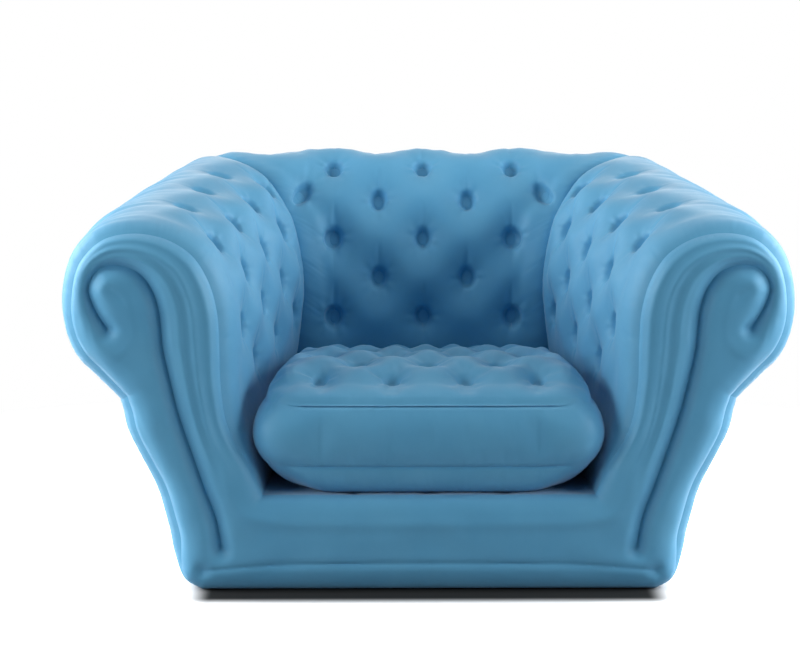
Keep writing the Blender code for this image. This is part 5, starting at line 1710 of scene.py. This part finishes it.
def rounded(profile, closed):
    """A profile with a small arc in place of each corner."""
    points = [np.array(point, float) for point in profile]
    result = []
    for i, point in enumerate(points):
        first, last = i == 0, i == len(points) - 1
        if not closed and (first or last):
            result.append(point)
            continue
        before, after = points[i - 1] - point, points[(i + 1) % len(points)] - point
        shorter = min(np.linalg.norm(before), np.linalg.norm(after))
        reach = min(EDGE_ROUND, EDGE_ROUND_SHARE * shorter)
        start, end = point + unit(before) * reach, point + unit(after) * reach
        result += [start, 0.25 * start + 0.5 * point + 0.25 * end, end]
    return result


def with_thread(profile, threaded):
    """The profile with close steps on its threaded length, which is one straight side of it."""
    if not threaded:
        return profile
    radius = threaded[0]
    result = []
    for point, after in zip(profile, [*profile[1:], profile[0]]):
        result.append(point)
        if abs(point[0] - radius) < SAME_PLACE and abs(after[0] - radius) < SAME_PLACE:
            steps = int(abs(after[1] - point[1]) / THREAD_PITCH * THREAD_STEPS)
            result += [point + (after - point) * k / steps for k in range(1, steps)]
    return result


def turned(name, axis, profile, closed, material, threaded=None):
    """A solid of revolution about a valve's axis, with round edges. A closed profile is a ring."""
    points, loops = [], []
    for radius, height in with_thread(rounded(profile, closed), threaded):
        if radius < 1e-9:
            loops.append([len(points)] * VALVE_SEGMENTS)
            points.append((0, 0, height))
            continue
        loops.append(list(range(len(points), len(points) + VALVE_SEGMENTS)))
        on_thread = threaded and abs(radius - threaded[0]) < SAME_PLACE
        on_thread = on_thread and threaded[1] < height < threaded[2]
        for k in range(VALVE_SEGMENTS):
            angle = math.tau * k / VALVE_SEGMENTS
            out = radius
            if on_thread:
                wave = math.cos(math.tau * height / THREAD_PITCH - angle)
                out -= THREAD_HEIGHT * (0.5 + 0.5 * wave)
            points.append((out * math.cos(angle), out * math.sin(angle), height))
    if closed:
        loops.append(loops[0])
    faces = []
    for low, high in zip(loops, loops[1:]):
        for k in range(VALVE_SEGMENTS):
            after = (k + 1) % VALVE_SEGMENTS
            face = [low[k], low[after], high[after], high[k]]
            faces.append([i for n, i in enumerate(face) if i != face[n - 1]])
    obj = add_mesh(name, on_axis(points, axis), faces, material, VALVE_SMOOTH_ANGLE)
    face_out(obj)
    return obj


def on_axis(points, axis):
    """Places points of a valve, drawn about its own Z, on its axis, which points to +Y."""
    x, y, z = np.asarray(points, float).T
    return np.column_stack([x, z, -y]) + axis


def face_out(obj):
    """Turns every face of a closed mesh outward."""
    shape = bmesh.new()
    shape.from_mesh(obj.data)
    bmesh.ops.recalc_face_normals(shape, faces=shape.faces)
    shape.to_mesh(obj.data)
    shape.free()


def tube_profile(inner, outer, low, high):
    return [(outer, low), (outer, high), (inner, high), (inner, low)]


def strap(name, axis, low, high, hook, material):
    """A strap from a loop round the cap's stem, out and down to the side of the plug's flange."""
    bore = CAP_STEM_RADIUS + VALVE_FIT
    loop = bore + TETHER_WIDTH / 3
    profile = tube_profile(bore, loop, high - TETHER_WALL, high)
    ring_piece = turned(f"{name}_loop", axis, profile, True, material)
    middle = high - TETHER_WALL / 2
    out = hook + TETHER_WALL / 2
    bend = TETHER_WALL
    flat = np.linspace(loop - STRAP_OVERLAP, out - bend, STRAP_FLAT_POINTS)
    path = [(x, middle) for x in flat]
    for k in range(1, STRAP_BEND_STEPS + 1):
        turn = k / STRAP_BEND_STEPS * math.pi / 2
        path.append((out - bend + bend * math.sin(turn), middle - bend + bend * math.cos(turn)))
    drop = np.linspace(middle - bend, low, STRAP_DROP_POINTS)
    path += [(out, z) for z in drop[1:]]
    path = np.array(path)
    run = unit(np.gradient(path, axis=0))
    side = np.stack([-run[:, 1], run[:, 0]], axis=-1)
    half, thick, cut_off = TETHER_WIDTH / 2, TETHER_WALL / 2, EDGE_ROUND * CUT_OFF_SHARE
    section = [
        (half - cut_off, thick), (half, thick - cut_off), (half, cut_off - thick),
        (half - cut_off, -thick), (cut_off - half, -thick), (-half, cut_off - thick),
        (-half, thick - cut_off), (cut_off - half, thick),
    ]
    points = []
    for place, way in zip(path, side):
        points += [(*(place[:1] + way[:1] * t), w, *(place[1:] + way[1:] * t)) for w, t in section]
    count = len(section)
    faces = [list(range(count)), [len(points) - 1 - k for k in range(count)]]
    for near in range(0, len(points) - count, count):
        far = near + count
        for n in range(count):
            after = (n + 1) % count
            faces.append([near + n, near + after, far + after, far + n])
    obj = add_mesh(f"{name}_strap", on_axis(points, axis), faces, material, STRAP_SMOOTH_ANGLE)
    face_out(obj)
    return ring_piece, obj


def rib_tree(material):
    """Stands small round ribs in a ring, along the ring's own axis."""
    inputs = [("Start", "Geometry"), ("Count", "Int")]
    inputs += [(name, "Float") for name in ("Ring radius", "Rib radius", "Rib length")]
    tree, nodes, given, result = new_tree("grip_ribs", [*inputs, ("Place", "Vector")], "Ribs")
    circle = nodes.new("GeometryNodeMeshCircle")
    rib = nodes.new("GeometryNodeMeshUVSphere")
    rib.inputs["Segments"].default_value = GRIP_RIB_SEGMENTS
    rib.inputs["Rings"].default_value = GRIP_RIB_RINGS
    rib.inputs["Radius"].default_value = 1
    size = nodes.new("ShaderNodeCombineXYZ")
    shape = nodes.new("GeometryNodeTransform")
    stand = nodes.new("GeometryNodeInstanceOnPoints")
    lay = nodes.new("GeometryNodeTransform")
    lay.inputs["Rotation"].default_value = (-math.pi / 2, 0, 0)
    link_chain(
        tree,
        (given.outputs["Count"], circle.inputs["Vertices"]),
        (given.outputs["Ring radius"], circle.inputs["Radius"]),
        (given.outputs["Rib radius"], size.inputs["X"]),
        (given.outputs["Rib radius"], size.inputs["Y"]),
        (given.outputs["Rib length"], size.inputs["Z"]),
        (rib.outputs["Mesh"], shape.inputs["Geometry"]),
        (size.outputs[0], shape.inputs["Scale"]),
        (circle.outputs["Mesh"], stand.inputs["Points"]),
        (shape.outputs["Geometry"], stand.inputs["Instance"]),
        (stand.outputs["Instances"], lay.inputs["Geometry"]),
        (given.outputs["Place"], lay.inputs["Translation"]),
    )
    end_tree(tree, lay.outputs["Geometry"], material, result)
    return tree


def add_valve(prefix, carrier, axis, moulded, seal, ribs):
    """A two-stage screw valve: a base, a plug with a flap, and a cap on a strap."""
    axis = np.array(axis, float)

    def valve_piece(part, body, profile, closed, material, slot, threaded=None):
        name = f"{prefix}_{part}"
        obj = turned(f"{name}_moulded", axis, profile, closed, material, threaded)
        return chair_piece(obj, name, slot=slot, body=body)

    flange_top = -WALL - VALVE_FIT
    flange_low = flange_top - VALVE_FLANGE_WALL
    base = [
        (VALVE_FLANGE_RADIUS, flange_low), (VALVE_FLANGE_RADIUS, flange_top),
        (NECK_RADIUS, flange_top), (NECK_RADIUS, NECK_HEIGHT), (NECK_BORE, NECK_HEIGHT),
        (NECK_BORE, -NECK_DEPTH), (NECK_RADIUS, -NECK_DEPTH), (NECK_RADIUS, flange_low),
    ]
    valve_piece("base", carrier, base, True, moulded, "valve_moulding")

    seal_low = NECK_HEIGHT + VALVE_FIT
    seal_high = seal_low + SEAL_WALL
    gasket = tube_profile(PLUG_RADIUS + VALVE_FIT, NECK_RADIUS, seal_low, seal_high)
    valve_piece("plug_gasket", f"{prefix}_plug_seal", gasket, True, seal, "valve_rubber")

    plug_low = seal_high + VALVE_FIT
    plug_high = plug_low + PLUG_FLANGE_WALL
    plug_top = plug_high + PLUG_NECK_HEIGHT
    plug = [
        (PLUG_RADIUS, -PLUG_DEPTH), (PLUG_RADIUS, plug_low), (PLUG_FLANGE_RADIUS, plug_low),
        (PLUG_FLANGE_RADIUS, plug_high), (PLUG_NECK_RADIUS, plug_high),
        (PLUG_NECK_RADIUS, plug_top), (PLUG_BORE, plug_top), (PLUG_BORE, -PLUG_DEPTH),
    ]
    thread = (PLUG_RADIUS, THREAD_PITCH / 2 - PLUG_DEPTH, NECK_HEIGHT)
    valve_piece("plug", f"{prefix}_plug", plug, True, moulded, "valve_moulding", thread)

    flap_high = -PLUG_DEPTH - VALVE_FIT
    flap_low = flap_high - FLAP_WALL
    flap = [(0, flap_low), (FLAP_RADIUS, flap_low), (FLAP_RADIUS, flap_high), (0, flap_high)]
    valve_piece("flap", f"{prefix}_flap", flap, False, seal, "valve_rubber")

    gasket_low = plug_top + VALVE_FIT
    gasket_high = gasket_low + SEAL_WALL
    gasket = tube_profile(PLUG_BORE, PLUG_NECK_RADIUS, gasket_low, gasket_high)
    valve_piece("cap_gasket", f"{prefix}_cap_seal", gasket, True, seal, "valve_rubber")

    disc_low = gasket_high + VALVE_FIT
    disc_high = disc_low + CAP_DISC_WALL
    skirt_inner = PLUG_NECK_RADIUS + VALVE_FIT
    skirt_outer = skirt_inner + CAP_SKIRT_WALL
    skirt_low = plug_high + VALVE_FIT
    stem_top = disc_high + THREAD_PITCH * CAP_TURNS + TETHER_WALL + 2 * VALVE_FIT
    knob_top = stem_top + CAP_KNOB_WALL
    cap = [
        (0, disc_low), (skirt_inner, disc_low), (skirt_inner, skirt_low), (skirt_outer, skirt_low),
        (skirt_outer, disc_high), (CAP_STEM_RADIUS, disc_high), (CAP_STEM_RADIUS, stem_top),
        (CAP_KNOB_RADIUS, stem_top), (CAP_KNOB_RADIUS, knob_top), (0, knob_top),
    ]
    valve_piece("cap", f"{prefix}_cap", cap, False, moulded, "valve_moulding")

    middle = (skirt_low + disc_high) / 2
    sizes = {
        "Count": GRIP_RIBS, "Ring radius": skirt_outer - GRIP_RIB_DEPTH / 3,
        "Rib radius": GRIP_RIB_DEPTH, "Rib length": (disc_high - skirt_low) * GRIP_RIB_SHARE,
        "Place": (axis[0], axis[1] + middle, axis[2]),
    }
    grip = run_tree(f"{prefix}_cap_grip_ribs", [(0, 0, 0)], {}, ribs, sizes)
    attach(grip, f"{prefix}_cap")

    hook = PLUG_FLANGE_RADIUS + VALVE_FIT
    for obj in strap(f"{prefix}_tether", axis, plug_low, stem_top - VALVE_FIT, hook, seal):
        chair_piece(obj, f"{prefix}_tether", slot="valve_rubber", body=f"{prefix}_plug")


# Materials


def new_material(name):
    material = bpy.data.materials.new(name)
    material.use_nodes = True
    nodes = material.node_tree.nodes
    nodes.clear()
    out = nodes.new("ShaderNodeOutputMaterial")
    shader = nodes.new("ShaderNodeBsdfPrincipled")
    material.node_tree.links.new(shader.outputs[0], out.inputs[0])
    return material, nodes, material.node_tree.links, shader


def noise(nodes, links, coords, scale, detail, roughness=0.5):
    node = nodes.new("ShaderNodeTexNoise")
    node.inputs["Scale"].default_value = scale
    node.inputs["Detail"].default_value = detail
    node.inputs["Roughness"].default_value = roughness
    links.new(coords, node.inputs["Vector"])
    return node.outputs["Fac"]


def mapped(nodes, links, value, low, high):
    """The usual spread of a noise, stretched to run from low to high."""
    node = nodes.new("ShaderNodeMapRange")
    node.inputs["From Min"].default_value, node.inputs["From Max"].default_value = NOISE_SPREAD
    node.inputs["To Min"].default_value = low
    node.inputs["To Max"].default_value = high
    links.new(value, node.inputs["Value"])
    return node.outputs["Result"]


def clouded_material(name, pale, deep, rough, scales, grain, finish):
    """A material with faint clouds of two colours, an uneven roughness and a fine grain."""
    material, nodes, links, shader = new_material(name)
    coords = nodes.new("ShaderNodeTexCoord").outputs["Object"]
    cloud_scale, rough_scale, grain_scale = scales
    cloud = noise(nodes, links, coords, cloud_scale, CLOUD_DETAIL)
    patches = noise(nodes, links, coords, rough_scale, ROUGH_DETAIL)
    mix = nodes.new("ShaderNodeMix")
    mix.data_type = "RGBA"
    mix.inputs["A"].default_value = deep
    mix.inputs["B"].default_value = pale
    links.new(mapped(nodes, links, cloud, 0, 1), mix.inputs["Factor"])
    links.new(mix.outputs["Result"], shader.inputs["Base Color"])
    links.new(mapped(nodes, links, patches, *rough), shader.inputs["Roughness"])
    bump = nodes.new("ShaderNodeBump")
    bump.inputs["Strength"].default_value, bump.inputs["Distance"].default_value = grain
    fine = noise(nodes, links, coords, grain_scale, GRAIN_DETAIL, GRAIN_ROUGHNESS)
    links.new(fine, bump.inputs["Height"])
    links.new(bump.outputs["Normal"], shader.inputs["Normal"])
    for key, value in finish.items():
        shader.inputs[key].default_value = value
    return material


# The studio


def add_light(name, place, target, size, power):
    data = bpy.data.lights.new(name, "AREA")
    data.shape = "RECTANGLE"
    data.size, data.size_y = size
    data.energy = power
    obj = new_object(name, data)
    obj.location = place
    obj.rotation_euler = (Vector(target) - Vector(place)).to_track_quat("-Z", "Y").to_euler()


def add_camera():
    data = bpy.data.cameras.new("camera")
    data.lens = FOCAL_LENGTH
    data.sensor_width = SENSOR_WIDTH
    obj = new_object("camera", data)
    obj.location = CAMERA_PLACE
    obj.rotation_euler = (math.pi / 2 - CAMERA_PITCH, 0, -CAMERA_YAW)
    bpy.context.scene.camera = obj


def seen_ray(nodes, links):
    """1 for what the camera sees, straight, in a gloss or through glass, else 0."""
    path = nodes.new("ShaderNodeLightPath")
    total = path.outputs["Is Camera Ray"]
    for other in ("Is Glossy Ray", "Is Transmission Ray"):
        either = nodes.new("ShaderNodeMath")
        either.operation = "MAXIMUM"
        links.new(total, either.inputs[0])
        links.new(path.outputs[other], either.inputs[1])
        total = either.outputs[0]
    return total


def vector_maths(nodes, links, operation, value, other=(0, 0, 0)):
    node = nodes.new("ShaderNodeVectorMath")
    node.operation = operation
    links.new(value, node.inputs[0])
    node.inputs[1].default_value = other
    return node.outputs["Value" if operation == "LENGTH" else "Vector"]


def eased(nodes, links, value, start, end):
    """0 up to the start and 1 from the end on, with a soft step between them."""
    node = nodes.new("ShaderNodeMapRange")
    node.interpolation_type = "SMOOTHSTEP"
    node.inputs["From Min"].default_value = start
    node.inputs["From Max"].default_value = end
    links.new(value, node.inputs["Value"])
    return node.outputs["Result"]


def mixed(nodes, links, share, first, second):
    """A mix of two shaders: the first at share 0 and the second at share 1."""
    mix = nodes.new("ShaderNodeMixShader")
    for value, given in zip((share, first, second), mix.inputs):
        links.new(value, given)
    return mix.outputs[0]


def add_floor():
    """A pale floor that fades to white, with a painted shadow: a soft dark rectangle under the
    chair.
    """
    mesh = bpy.data.meshes.new("studio_floor")
    signs = ((-1, -1), (1, -1), (1, 1), (-1, 1))
    corners = [(x * FLOOR_HALF, y * FLOOR_HALF, 0) for x, y in signs]
    mesh.from_pydata(corners, [], [(0, 1, 2, 3)])
    obj = new_object("studio_floor", mesh)
    obj.location.z = FLOOR_Z
    material = bpy.data.materials.new("studio_floor")
    material.use_nodes = True
    nodes, links = material.node_tree.nodes, material.node_tree.links
    nodes.clear()
    out = nodes.new("ShaderNodeOutputMaterial")
    near, bounced = (nodes.new("ShaderNodeBsdfDiffuse") for _ in range(2))
    bounced.inputs["Color"].default_value = FLOOR_BOUNCE
    coords = nodes.new("ShaderNodeTexCoord").outputs["Object"]
    # Painted shadow: the floor's colour darkens inside a soft rectangle under the chair, whatever
    # the lamps cast
    beside = vector_maths(nodes, links, "SUBTRACT", coords, (*PAINTED_SHADOW_MIDDLE, 0))
    size = vector_maths(nodes, links, "ABSOLUTE", beside)
    beyond = vector_maths(nodes, links, "SUBTRACT", size, (*PAINTED_SHADOW_HALF, 0))
    gap = vector_maths(nodes, links, "LENGTH", vector_maths(nodes, links, "MAXIMUM", beyond))
    shade = nodes.new("ShaderNodeMix")
    shade.data_type = "RGBA"
    shade.inputs["A"].default_value = PAINTED_SHADOW_COLOUR
    shade.inputs["B"].default_value = FLOOR_SEEN
    links.new(eased(nodes, links, gap, 0, PAINTED_SHADOW_SOFTNESS), shade.inputs["Factor"])
    links.new(shade.outputs["Result"], near.inputs["Color"])
    white = nodes.new("ShaderNodeEmission")
    white.inputs["Color"].default_value = (1, 1, 1, 1)
    fade = eased(nodes, links, vector_maths(nodes, links, "LENGTH", coords), *FLOOR_FADE)
    shown = mixed(nodes, links, fade, near.outputs[0], white.outputs[0])
    both = mixed(nodes, links, seen_ray(nodes, links), bounced.outputs[0], shown)
    links.new(both, out.inputs[0])
    mesh.materials.append(material)


def add_world():
    world = bpy.data.worlds.new("studio")
    bpy.context.scene.world = world
    world.use_nodes = True
    nodes, links = world.node_tree.nodes, world.node_tree.links
    nodes.clear()
    out = nodes.new("ShaderNodeOutputWorld")
    seen = nodes.new("ShaderNodeBackground")
    seen.inputs["Color"].default_value = (1, 1, 1, 1)
    lit = nodes.new("ShaderNodeBackground")
    lit.inputs["Color"].default_value = WORLD_TINT
    lit.inputs["Strength"].default_value = WORLD_STRENGTH
    both = mixed(nodes, links, seen_ray(nodes, links), lit.outputs[0], seen.outputs[0])
    links.new(both, out.inputs[0])


def main():
    sheet_look = (VINYL_ROUGHNESS, VINYL_SCALES, VINYL_GRAIN, VINYL_FINISH)
    web_sheet = clouded_material("web_vinyl", WEB_PALE, WEB_DEEP, *sheet_look)
    vinyl = clouded_material("soft_touch_vinyl", VINYL_PALE, VINYL_DEEP, *sheet_look)
    add_arms_and_back(vinyl)
    add_front(vinyl)
    add_deck_and_base(vinyl)
    add_webs(web_sheet)
    top = add_cushion(vinyl)
    add_cushion_beams(top, web_sheet)
    add_weld_discs(top, vinyl)
    moulded = clouded_material(
        "valve_moulding", VALVE_PALE, VALVE_DEEP, VALVE_ROUGHNESS, VALVE_SCALES, MOULDED_GRAIN,
        VALVE_FINISH,
    )
    seal = clouded_material(
        "valve_rubber", RUBBER_PALE, RUBBER_DEEP, RUBBER_ROUGHNESS, RUBBER_SCALES, MOULDED_GRAIN,
        RUBBER_FINISH,
    )
    ribs = rib_tree(moulded)
    add_valve("body_valve", "chair", BODY_VALVE, moulded, seal, ribs)
    add_valve("cushion_valve", "cushion", CUSHION_VALVE, moulded, seal, ribs)
    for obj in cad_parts.values():
        obj.data.materials.clear()
        obj.data.materials.append(vinyl)
    add_camera()
    add_floor()
    add_world()
    for light in LIGHTS:
        add_light(*light)
    bpy.context.scene.view_settings.view_transform = "Standard"


main()
